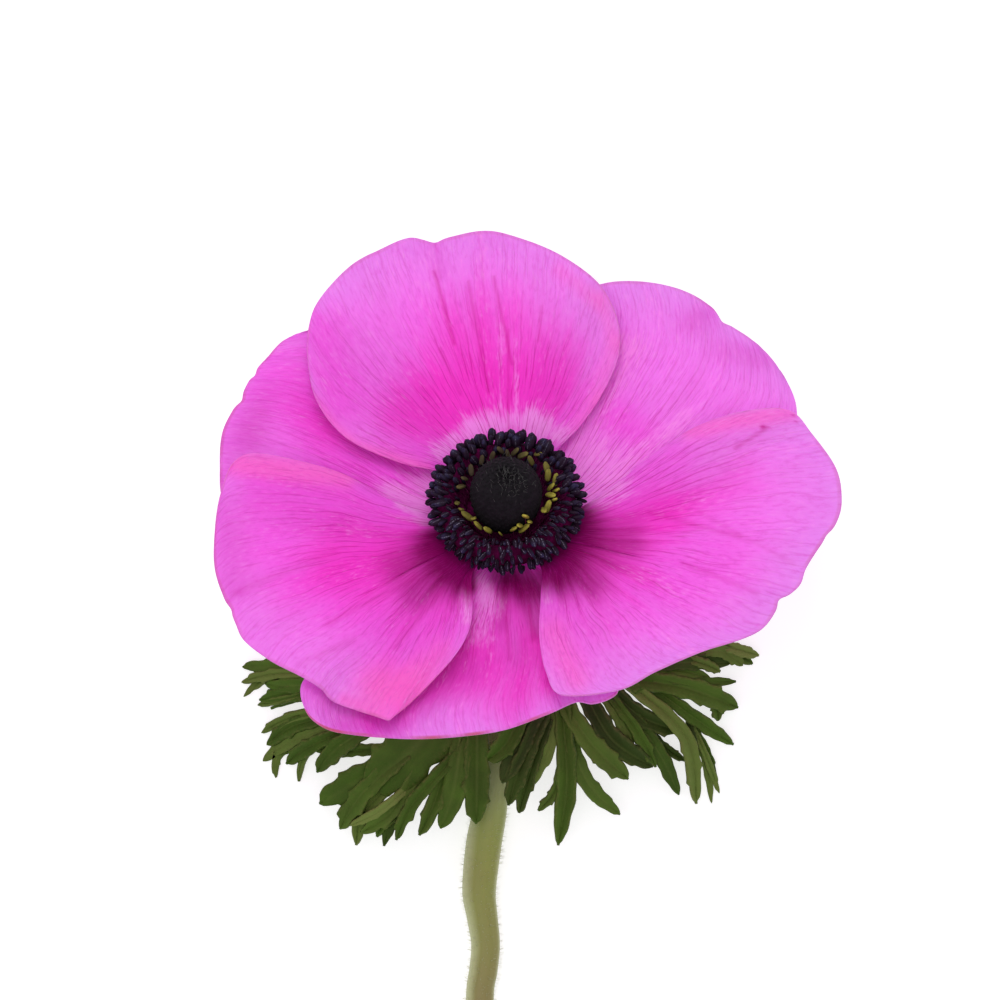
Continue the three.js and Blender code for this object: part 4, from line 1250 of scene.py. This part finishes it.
class ANEMONE_OT_stamens(bpy.types.Operator):
    """Build the ring of dark stamens"""

    bl_idname = "anemone.stamens"
    bl_label = "Outer stamens"

    def execute(self, context):
        settings = context.scene.anemone_centre
        anthers, stalks = self.places()
        # The pale line is a painted glint
        ink = anther_material("Anther ink", settings.ink, settings.ink_tip_sheen, srgb(0x9088A0))
        template = anther_template(settings.anther_length / MM, settings.anther_width / MM)
        template.data.materials.append(ink)
        ring = copies("anthers", template, anthers)
        # Painted glints, stronger on the lower half of the ring
        set_mask(ring, "glint", 0.3 + 0.5 * np.clip(-np.sin(plan_angles(ring)) * 2, 0, 1))
        thread = filament_template()
        thread.data.materials.append(plain_hair_material("Filament", settings.filament))
        threads = copies("filaments", thread, stalks)
        whole = join([ring, threads, self.bed(settings)], "outer_stamen_ring")
        finish_piece(whole, "outer_stamens")
        return {"FINISHED"}

    def places(self):
        """Matrices of the anthers, in rows round a fat ring, and of the stalks under them"""
        rng = random.Random(ANTHER_SEED)
        bloom = bloom_matrix()
        anthers = []
        stalks = []
        for row, (radius, height, count, elevation, bulk) in enumerate(ANTHER_ROWS):
            for index in range(count):
                angle = TAU * (index + 0.5 * (row % 2) + rng.uniform(-0.28, 0.28)) / count
                reach = radius + rng.uniform(-0.28, 0.28)
                rise = height + rng.uniform(-0.3, 0.3)
                place = ring_place(reach, rise, angle)
                low = 0.5 - 0.5 * math.sin(angle)
                lean = math.radians(elevation - 45 * low + rng.uniform(-22, 22))
                heading = out_direction(angle + rng.uniform(-0.45, 0.45), lean)
                size = bulk * rng.uniform(0.74, 1.18) * (0.94 + 0.12 * math.sin(angle))
                roll = rng.uniform(-1.2, 1.2)
                slim = size * (1 - 0.25 * low)
                anthers.append(bloom @ pose(place, heading, roll, (size, slim, slim)))
                start = (rng.uniform(4.5, 5.6), rng.uniform(1.2, 1.7))
                foot = ring_place(*start, angle + rng.uniform(-0.1, 0.1))
                stalks.append(bloom @ stalk(foot, place - 0.5 * heading, STALK_WIDTH))
        return anthers, stalks

    def bed(self, settings):
        """A dark solid for the crowd of stalks under the anthers, darker than one stalk as painted shade
        deep in the crowd
        """
        profile = [
            (2.6, 1.08), (4.3, 1.05), (4.9, 0.0), (8.6, 2.0), (9.0, 3.4), (8.4, 4.9), (7.5, 5.0),
            (6.6, 3.6), (5.2, 1.8), (3.4, 1.4), (2.6, 1.22), (2.6, 1.08),
        ]
        piece = revolved("bed", profile, BED_SIDES)
        # Half as bright as a stalk: painted shade among the stalks
        dark = scaled(settings.filament, 0.5)
        skin = tinted_material(
            "Shaded stalk bed", 0.9, dark, scaled(dark, 2.4), 600.0, 0.0002, Specular_IOR_Level=0.04
        )[0]
        piece.data.materials.append(skin)
        return piece


# Inner anthers: angle round the axis, radius, height and size
INNER_ANTHERS = [
    (37, 6.7, 5.6, 1.1), (30, 6.3, 5.5, 1.0), (21, 6.9, 5.4, 1.0), (14, 6.0, 5.3, 1.15),
    (9, 6.6, 5.2, 1.0), (3, 5.8, 5.2, 1.1), (-3, 6.3, 5.0, 1.0), (-14, 5.6, 5.0, 1.0),
    (-21, 5.3, 5.0, 1.1), (164, 6.1, 5.0, 1.1), (152, 6.1, 5.1, 0.9), (138, 6.1, 5.2, 0.9),
    (187, 6.4, 4.9, 0.9), (197, 6.1, 4.9, 1.1), (208, 5.7, 4.8, 1.15), (216, 5.2, 4.8, 1.0),
    (228, 5.4, 4.6, 0.9), (243, 5.2, 4.5, 0.9), (262, 5.2, 4.4, 0.6), (-59, 4.9, 7.1, 1.1),
    (-79, 5.2, 5.5, 1.0), (-70, 5.2, 6.0, 1.0), (-64, 5.3, 5.1, 1.1), (-53, 5.1, 5.6, 0.8),
    (107, 6.1, 5.8, 0.9), (96, 6.8, 5.8, 0.8), (88, 6.2, 5.8, 0.8), (80, 6.6, 5.8, 0.9),
    (70, 6.4, 5.8, 1.0), (58, 6.1, 5.8, 0.9), (56, 7.4, 5.9, 0.8), (120, 6.3, 5.5, 0.8),
]
INNER_SEED = 23
INNER_ANTHER = (1.75, 0.76)  # length and width
INNER_FOOT = (5.0, 1.4)  # radius and height
INNER_STALK_WIDTH = 0.18
BARE_STALKS = 64


class ANEMONE_OT_inner_stamens(bpy.types.Operator):
    """Build the few olive stamens round the pistil"""

    bl_idname = "anemone.inner_stamens"
    bl_label = "Inner stamens"

    def execute(self, context):
        settings = context.scene.anemone_centre
        # The dark line is painted shade in the grooves
        olive = anther_material(
            "Anther olive", settings.olive, scaled(settings.olive, 1.7), srgb(0x3A2A20)
        )
        template = anther_template(*INNER_ANTHER)
        template.data.materials.append(olive)
        heads, stalks = self.places()
        thread = filament_template()
        thread.data.materials.append(plain_hair_material("Inner filament", settings.filament))
        crown = copies("heads", template, heads)
        turned = plan_angles(crown)
        brown = 0.5 - 0.35 * np.cos(turned) + 0.6 * np.sin(turned) - 0.2
        set_mask(crown, "brown", np.clip(brown, 0, 0.9))
        set_mask(crown, "glint", np.full(len(turned), 0.6))
        whole = join([crown, copies("threads", thread, stalks)], "inner_stamen_ring")
        finish_piece(whole, "inner_stamens")
        return {"FINISHED"}

    def places(self):
        """Matrices of the anthers and their stalks, and of a crowd of bare stalks round the pistil"""
        rng = random.Random(INNER_SEED)
        bloom = bloom_matrix()
        heads = []
        stalks = []
        for degrees, radius, height, size in INNER_ANTHERS:
            angle = math.radians(degrees)
            place = ring_place(radius, height, angle)
            along_ring = rng.choice((-1, 1)) * rng.uniform(0.6, 1.4)
            heading = out_direction(angle + along_ring, math.radians(rng.uniform(35, 65)))
            scale = (1.1 * size, 1.1 * size, size)
            heads.append(bloom @ pose(place, heading, rng.uniform(-0.4, 0.4), scale))
            stalks.append(bloom @ stalk(ring_place(*INNER_FOOT, angle), place, INNER_STALK_WIDTH))
        for index in range(BARE_STALKS):
            angle = TAU * (index + rng.uniform(-0.3, 0.3)) / BARE_STALKS
            end = ring_place(rng.uniform(5.2, 5.8), rng.uniform(3.4, 4.4), angle)
            stalks.append(bloom @ stalk(ring_place(*INNER_FOOT, angle), end, INNER_STALK_WIDTH))
        return heads, stalks


PISTIL_SEED = 5
DOME_SIDES = 48
DOME_RINGS = 28
CARPELS = 430
WOOL_PATCH = (0.6, -1.0)
WOOL_PATCH_RADIUS = 1.7
WOOL_WIDTH = 0.032


class ANEMONE_OT_pistil(bpy.types.Operator):
    """Build the woolly dome of carpels"""

    bl_idname = "anemone.pistil"
    bl_label = "Pistil"

    def execute(self, context):
        settings = context.scene.anemone_centre
        dark = settings.dome
        skin = tinted_material(
            "Pistil", 0.8, dark, scaled(dark, 1.6), 1500.0, 0.0001, Specular_IOR_Level=0.1
        )[0]
        piece = revolved("dome", self.dome_profile(), DOME_SIDES)
        piece.data.materials.append(skin)
        carpels, hairs = self.places()
        template = self.carpel()
        template.data.materials.append(skin)
        crowd = copies("carpels", template, carpels)
        thread = filament_template()
        thread.data.materials.append(plain_hair_material("Pistil wool", settings.wool))
        wool = copies("wool", thread, hairs)
        whole = join([piece, crowd, wool], "pistil_dome")
        finish_piece(whole, "pistil")
        return {"FINISHED"}

    def places(self):
        """Matrices of the carpels, spiralled over the dome, and of the hairs on them"""
        rng = random.Random(PISTIL_SEED)
        bloom = bloom_matrix()
        carpels = []
        hairs = []
        golden = math.pi * (3 - math.sqrt(5))
        for index in range(CARPELS):
            share = (index + 0.5) / CARPELS
            polar = math.acos(1 - 1.45 * share)
            angle = golden * index
            height = PISTIL_WIDEST + (PISTIL_TOP - PISTIL_WIDEST) * math.cos(polar)
            if polar > math.pi / 2:
                height = PISTIL_WIDEST + PISTIL_TAPER * math.cos(polar)
            normal = ring_place(math.sin(polar), math.cos(polar), angle)
            radius = pistil_radius(min(height, PISTIL_TOP - 0.01)) - 0.36
            place = ring_place(radius, height - 0.1, angle)
            bend = Vector((0, 0, rng.uniform(0.0, 0.3)))
            carpels.append(bloom @ pose(place, normal + bend, rng.uniform(0, TAU)))
            for _ in range(self.hair_count(place, polar, index)):
                tip = normal * rng.uniform(0.0, 0.3)
                tip += Vector([rng.uniform(-0.35, 0.35), rng.uniform(-0.8, 0.8), 0])
                length = rng.uniform(0.5, 1.0)
                spot = place + 0.3 * normal
                scale = (length, WOOL_WIDTH, WOOL_WIDTH)
                hairs.append(bloom @ pose(spot, normal * 0.2 + tip, 0.0, scale))
        return carpels, hairs

    def dome_profile(self):
        """Radii and heights just under the carpels, closed at both poles"""
        rise = PISTIL_TOP - PISTIL_BOTTOM
        heights = [PISTIL_BOTTOM + rise * share for share in np.linspace(0, 1, DOME_RINGS + 1)]
        profile = []
        for height in heights:
            pole = height in (heights[0], heights[-1])
            radius = 0 if pole else max(pistil_radius(height) - 0.1, 0)
            profile.append((radius, min(height, PISTIL_TOP - 0.25)))
        return profile

    def hair_count(self, place, polar, index):
        """Four hairs on each carpel of the woolly patch, and a few elsewhere near the top"""
        if math.hypot(place.x - WOOL_PATCH[0], place.y - WOOL_PATCH[1]) < WOOL_PATCH_RADIUS:
            return 4
        return 1 if polar < 1.0 and index % 3 == 0 else 0

    def carpel(self):
        def profile(share, angle):
            radius = 0.27 * math.sqrt(max(1 - (2 * share - 1) ** 2, 0))
            return (0.5 * share - 0.12, radius * math.cos(angle), radius * math.sin(angle))

        return tube_template("carpel", 6, 5, profile)


# ---------------------------------------------------------------- stem

STEM_SIDES = 40
STEM_STEP = 0.8
STEM_RADIUS = 2.2  # where the neck comes down on the table
STEM_HAIRS = 2600
STEM_HAIR_WIDTH = 0.04
STEM_HAIR_SEED = 31
BROWN_START = 42  # distance down the stem from the bloom's middle
BROWN_SPAN = 22
# LIT_START and LIT_SPAN place painted light on the stem, lifting the shade that falls on it from above
LIT_START = 33  # a pale stretch round this distance
LIT_SPAN = 5
NECK_TOP_DISTANCE = NECK_START * SIN_TILT
NECK_TOP_HEIGHT = BLOOM_HEIGHT - NECK_START * COS_TILT
REST_HEIGHT = STEM_RADIUS * STEM_FLAT
NECK_BEND = (NECK_TOP_HEIGHT - REST_HEIGHT) / (1 - SIN_TILT)
TOUCH_DOWN = NECK_TOP_DISTANCE + NECK_BEND * COS_TILT


def stem_height(distance, radius):
    if distance >= TOUCH_DOWN:
        return radius * STEM_FLAT
    back = TOUCH_DOWN - distance
    return REST_HEIGHT + NECK_BEND - math.sqrt(NECK_BEND**2 - back**2)


def stem_stations(step):
    """The stem's axis and radius at even steps, from inside the receptacle to the cut end"""
    inside = 0.4
    course = [(NECK_TOP_DISTANCE, 0.0, NECK_RADIUS), *STEM_COURSE]
    line = catmull_rom([(x, -distance, radius) for distance, x, radius in course], CURVE_STEPS)
    length = np.linalg.norm(np.diff(line, axis=0), axis=1).sum()
    spaced = along_line(line, np.linspace(0, 1, round(length / step) + 1))
    stations = [((0.0, -inside * SIN_TILT, BLOOM_HEIGHT - inside * COS_TILT), NECK_RADIUS)]
    stations += [((x, y, stem_height(-y, radius)), radius) for x, y, radius in spaced]
    return [(Vector(centre), radius) for centre, radius in stations]


def stem_axes(stations, index):
    before = stations[max(index - 1, 0)][0]
    after = stations[min(index + 1, len(stations) - 1)][0]
    heading = after - before
    if -stations[index][0].y > TOUCH_DOWN:
        heading.z = 0
    heading.normalize()
    side = Vector((0, 0, 1)).cross(heading).normalized()
    return heading, side, heading.cross(side)


class ANEMONE_OT_stem(bpy.types.Operator):
    """Build the ribbed stem, its receptacle and its fine hairs"""

    bl_idname = "anemone.stem"
    bl_label = "Stem"

    def execute(self, context):
        settings = context.scene.anemone_green
        green = stem_material(settings)
        stations = stem_stations(STEM_STEP)
        tube = self.tube(stations)
        disc = self.receptacle()
        tube.data.materials.append(green)
        disc.data.materials.append(green)
        set_mask(disc, "brown", np.zeros(len(disc.data.vertices)))
        hairs = self.hairs(stations, settings.hair_length / MM)
        whole = join([tube, disc, hairs], "stem_tube")
        finish_piece(whole, "stem")
        return {"FINISHED"}

    def tube(self, stations):
        last = len(stations) - 1
        piece = sheet("tube", STEM_SIDES, len(stations) + 3)
        rings = []
        brown = []
        for index, (centre, radius) in enumerate(stations):
            heading, side, rise = stem_axes(stations, index)
            slant = STEM_CUT_SLOPE if index == last else 0
            ring = []
            for corner in range(STEM_SIDES + 1):
                angle = corner * TAU / STEM_SIDES - math.pi / 2
                rib = 1 + 0.012 * math.cos(9 * angle + 0.03 * index) + 0.006 * math.cos(17 * angle + 1)
                point = centre + side * radius * rib * math.cos(angle)
                point += rise * radius * rib * math.sin(angle)
                point -= heading * slant * radius * (1 + math.sin(angle))
                point.z = max(point.z, 0)
                ring.append(point)
            rings.append(ring)
            brown.append(min(max((-centre.y - BROWN_START) / BROWN_SPAN, 0), 1))
        # Each end closes in two more rings, down to a point in its middle
        ends = []
        for ring, depths in ((rings[0], (0, 0.5)), (rings[-1], (0.82, 0))):
            middle = sum(ring[:-1], Vector()) / STEM_SIDES
            ends.append([[middle + (point - middle) * depth for point in ring] for depth in depths])
        rings = [*ends[0], *rings, *ends[1]]
        brown = [0, 0, *brown, 0.8, 0.3]
        place_points(piece, on_table([point[:] for ring in rings for point in ring]))
        set_mask(piece, "brown", np.repeat(brown, STEM_SIDES + 1))
        # Painted highlights along the left flank and a narrow one on the right, and painted light over the
        # stretch round LIT_START
        corners = np.cos(np.arange(STEM_SIDES + 1) * TAU / STEM_SIDES - math.pi / 2)
        painted_highlight = np.clip(-1.9 * corners - 0.6, 0, 1) + np.clip(4 * corners - 3.2, 0, 0.7)
        lit = np.array([math.exp(-(((ring[0].y + LIT_START) / LIT_SPAN) ** 2)) for ring in rings])
        set_mask(piece, "painted_highlight", np.maximum(painted_highlight[None, :], 0.8 * lit[:, None]))
        close_seams(piece)
        return piece

    def receptacle(self):
        profile = [
            (0, -3.5), (1.9, -3.4), (2.9, -2.5), (3.9, -1.9), (4.2, -1.3), (4.2, 0.8), (3.9, 1.0),
            (0, 1.0),
        ]
        return revolved("receptacle", catmull_rom(profile, 4), STEM_SIDES)

    def hairs(self, stations, length):
        rng = random.Random(STEM_HAIR_SEED)
        placed = []
        lift = Matrix.Scale(MM, 4) @ Matrix.Translation((BLOOM_PLACE[0], BLOOM_PLACE[1], 0))
        for _ in range(STEM_HAIRS):
            index = rng.randrange(4, len(stations) - 1)
            centre, radius = stations[index]
            heading, side, rise = stem_axes(stations, index)
            angle = rng.uniform(-0.9, math.pi + 0.9)
            out = side * math.cos(angle) + rise * math.sin(angle)
            spot = centre + out * radius * 0.98 + heading * rng.uniform(-0.4, 0.4)
            lean = out + heading * rng.uniform(-0.6, 0.3) + side * rng.uniform(-0.3, 0.3)
            size = length * rng.uniform(0.5, 1.1)
            if spot.z + lean.z * size < 0.1:
                continue
            placed.append(lift @ pose(spot, lean, 0.0, (size, STEM_HAIR_WIDTH, STEM_HAIR_WIDTH)))
        thread = filament_template()
        thread.data.materials.append(plain_hair_material("Stem hair", srgb(0xC8CCA8)))
        return copies("stem_hairs", thread, placed)


# ---------------------------------------------------------------- bracts

LOBE_STEP = 0.24
LEAF_LOWEST = 0.24
BLADE_ROWS = 44
BLADE_COLUMNS = 8
FIRST_LOBE_SEED = 20


def bract_height(bract, x, y):
    node_height = stem_height(-BRACT_NODE[1], STEM_COURSE[0][2])
    reach = np.hypot(x - BRACT_NODE[0], y - BRACT_NODE[1]) / BRACT_REACH
    return node_height + bract["over"] + bract["arch"] * np.sin(np.pi * reach) - bract["droop"] * reach**2


class ANEMONE_OT_bracts(bpy.types.Operator):
    """Build the three bracts, each cut into overlapping, pointed lobes"""

    bl_idname = "anemone.bracts"
    bl_label = "Bracts"

    def execute(self, context):
        settings = context.scene.anemone_green
        green = leaf_material(settings)
        share = np.linspace(0, 1, BLADE_ROWS + 1)
        blunt_tip = (1 - np.clip(share / 0.45 - 1.22, 0, 1) ** 2) ** 0.6
        for bract in BRACTS:
            blades = []
            for index, (*course, width) in enumerate(bract["ribs"]):
                widths = width * (1 - 0.25 * share)
                blades.append(self.blade(bract, course, widths, -0.2, 0.1 * index, index))
            for index, (tone_and_lighting, level, width, *course) in enumerate(bract["lobes"], FIRST_LOBE_SEED):
                widths = width * (0.8 + 0.35 * share) * blunt_tip
                blades.append(self.blade(bract, course, widths, tone_and_lighting, LOBE_STEP * level, index))
            whole = join(blades, bract["name"] + "_blades")
            whole.data.materials.append(green)
            add_modifier(whole, "Wall", "SOLIDIFY", thickness=settings.leaf_thickness, offset=0)
            apply_modifiers(whole)
            finish_piece(whole, bract["name"])
        return {"FINISHED"}

    def blade(self, bract, course, widths, tone_and_lighting, lift, seed):
        """A folded strip along a course, with ragged sides and teeth near its tip"""
        line = along_line(catmull_rom(course, 12), np.linspace(0, 1, BLADE_ROWS + 1))
        heading = np.gradient(line, axis=0)
        heading /= np.linalg.norm(heading, axis=1)[:, None]
        right = np.stack((heading[:, 1], -heading[:, 0]), -1)
        share = np.linspace(0, 1, BLADE_ROWS + 1)[:, None]
        side = np.linspace(-1, 1, BLADE_COLUMNS + 1)[None, :]
        half_width = np.maximum(widths[:, None], 0.04) / 2
        ragged = 0.06 * np.sin(23 * share + 5 * side + seed) + 0.05 * np.sin(41 * share - 3 * seed)
        turns = 4.5 * share + 0.31 * seed + 0.5 * (side > 0)
        teeth = (0.36 + 0.36 * math.sin(1.9 * seed)) * (turns % 1) ** 2.5 * np.clip(2.4 * share - 1.2, 0, 1)
        reach = side * half_width * (1 + (ragged + teeth) * side**2)
        plan = line[:, None, :] + reach[..., None] * right[:, None, :]
        height = bract_height(bract, plan[..., 0], plan[..., 1]) + lift * np.clip(3 * share, 0, 1)
        fold = 0.4 + 0.3 * math.sin(2.1 * seed)
        height = height + fold * np.abs(reach) - 0.1 * np.exp(-((side / 0.2) ** 2))
        height = height + 0.25 * math.sin(1.7 * seed) * side * half_width
        height = height + 0.3 * math.sin(3.3 * seed) * np.sin(math.pi * share)
        height = np.maximum(height, LEAF_LOWEST)
        piece = sheet("blade", BLADE_COLUMNS, BLADE_ROWS)
        place_points(piece, on_table(np.stack((plan[..., 0], plan[..., 1], height), -1)))
        self.paint(piece, side, share, tone_and_lighting, seed)
        return piece

    def paint(self, piece, side, share, tone_and_lighting, seed):
        """Masks for the rib, the worn edge and the light or dark tone of a blade; the tone is partly
        painted light and shade, and painted shade darkens the blade towards its root
        """
        every = np.ones((BLADE_ROWS + 1, BLADE_COLUMNS + 1))
        set_mask(piece, "seed", 1.3 * seed * every)
        set_mask(piece, "rib", np.exp(-((side / 0.13) ** 2)) * (1 - 0.6 * share))
        set_mask(piece, "edge", np.clip(np.abs(side) * 5 - 4, 0, 1) * every)
        # Painted light and shade by the lobe's tone, and painted shade towards the root
        set_mask(piece, "light", 0.7 * max(tone_and_lighting, 0) * every)
        set_mask(piece, "dark", np.clip(0.45 * (1 - share) ** 2 - tone_and_lighting, 0, 1) * every)


# ---------------------------------------------------------------- stage


FLOOR_GLOW = 0.68
SKY_STRENGTH = 0.64
# Each lamp's name, place, width and power
LAMPS = (
    ("key", (-0.1, 1.0, 1.3), 0.9, 7.2),
    ("fill", (-0.25, -0.1, 1.6), 1.2, 4.4),
)
LAMP_AIM = (0, 0.03, 0.01)
SENSOR_WIDTH = 36
VIEW_MIDDLE = (-3.62, 41.04)
FAR_CLIP = 20


class ANEMONE_OT_stage(bpy.types.Operator):
    """Lay the floor and set the lights and the camera"""

    bl_idname = "anemone.stage"
    bl_label = "Stage"

    def execute(self, context):
        settings = context.scene.anemone_stage
        self.floor(settings)
        self.lights(context)
        self.camera(context, settings)
        context.scene.view_settings.view_transform = "Standard"
        return {"FINISHED"}

    def floor(self, settings):
        bpy.ops.object.select_all(action="DESELECT")
        bpy.ops.mesh.primitive_plane_add(size=settings.floor_size)
        floor = bpy.context.active_object
        floor.name = "floor"
        material, tree, shader = new_material("Pale floor", 0.9, Specular_IOR_Level=0.1)
        grain = tree.noise(tree.object_place(), 40.0, 2.0)
        tree.put(tree.mix(grain, (0.5, 0.5, 0.5), (0.53, 0.53, 0.53)), shader.inputs["Base Color"])
        shader.inputs["Emission Color"].default_value = (1, 1, 1, 1)
        shader.inputs["Emission Strength"].default_value = FLOOR_GLOW
        floor.data.materials.append(material)

    def lights(self, context):
        world = bpy.data.worlds.new("Studio")
        world.use_nodes = True
        sky = world.node_tree.nodes["Background"]
        sky.inputs["Color"].default_value = (1, 1, 1, 1)
        sky.inputs["Strength"].default_value = SKY_STRENGTH
        context.scene.world = world
        for name, place, size, power in LAMPS:
            lamp = bpy.data.lights.new(name, "AREA")
            lamp.shape = "DISK"
            lamp.size = size
            lamp.energy = power
            holder = bpy.data.objects.new(name, lamp)
            holder.location = place
            aim = Vector(LAMP_AIM) - Vector(place)
            holder.rotation_euler = aim.to_track_quat("-Z", "Y").to_euler()
            context.collection.objects.link(holder)

    def camera(self, context, settings):
        camera = bpy.data.cameras.new("camera")
        camera.sensor_width = SENSOR_WIDTH
        camera.lens = SENSOR_WIDTH * settings.camera_distance / settings.view_width
        camera.clip_end = FAR_CLIP
        holder = bpy.data.objects.new("camera", camera)
        height = BLOOM_HEIGHT * MM + settings.camera_distance
        holder.location = (VIEW_MIDDLE[0] * MM, VIEW_MIDDLE[1] * MM, height)
        context.collection.objects.link(holder)
        context.scene.camera = holder


class ANEMONE_PT_builder(bpy.types.Panel):
    """Lists the settings and the builders"""

    bl_label = "Anemone"
    bl_space_type = "VIEW_3D"
    bl_region_type = "UI"
    bl_category = "Anemone"

    def draw(self, context):
        for group in SETTINGS:
            settings = getattr(context.scene, group)
            box = self.layout.box()
            for name in settings.bl_rna.properties.keys():
                if name not in ("rna_type", "name"):
                    box.prop(settings, name)
        for operator in OPERATORS:
            self.layout.operator(operator.bl_idname)


SETTINGS = {
    "anemone_petals": AnemonePetalSettings,
    "anemone_centre": AnemoneCentreSettings,
    "anemone_green": AnemoneGreenSettings,
    "anemone_stage": AnemoneStageSettings,
}
OPERATORS = (
    ANEMONE_OT_petals,
    ANEMONE_OT_stamens,
    ANEMONE_OT_inner_stamens,
    ANEMONE_OT_pistil,
    ANEMONE_OT_stem,
    ANEMONE_OT_bracts,
    ANEMONE_OT_stage,
)


def register():
    for group in (*SETTINGS.values(), *OPERATORS, ANEMONE_PT_builder):
        bpy.utils.register_class(group)
    for name, group in SETTINGS.items():
        setattr(bpy.types.Scene, name, bpy.props.PointerProperty(type=group))


def unregister():
    for name in SETTINGS:
        delattr(bpy.types.Scene, name)
    for group in (ANEMONE_PT_builder, *reversed(OPERATORS), *SETTINGS.values()):
        bpy.utils.unregister_class(group)


def main():
    register()
    for operator in OPERATORS:
        family, name = operator.bl_idname.split(".")
        getattr(getattr(bpy.ops, family), name)()
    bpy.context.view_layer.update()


if __name__ == "__main__":
    main()
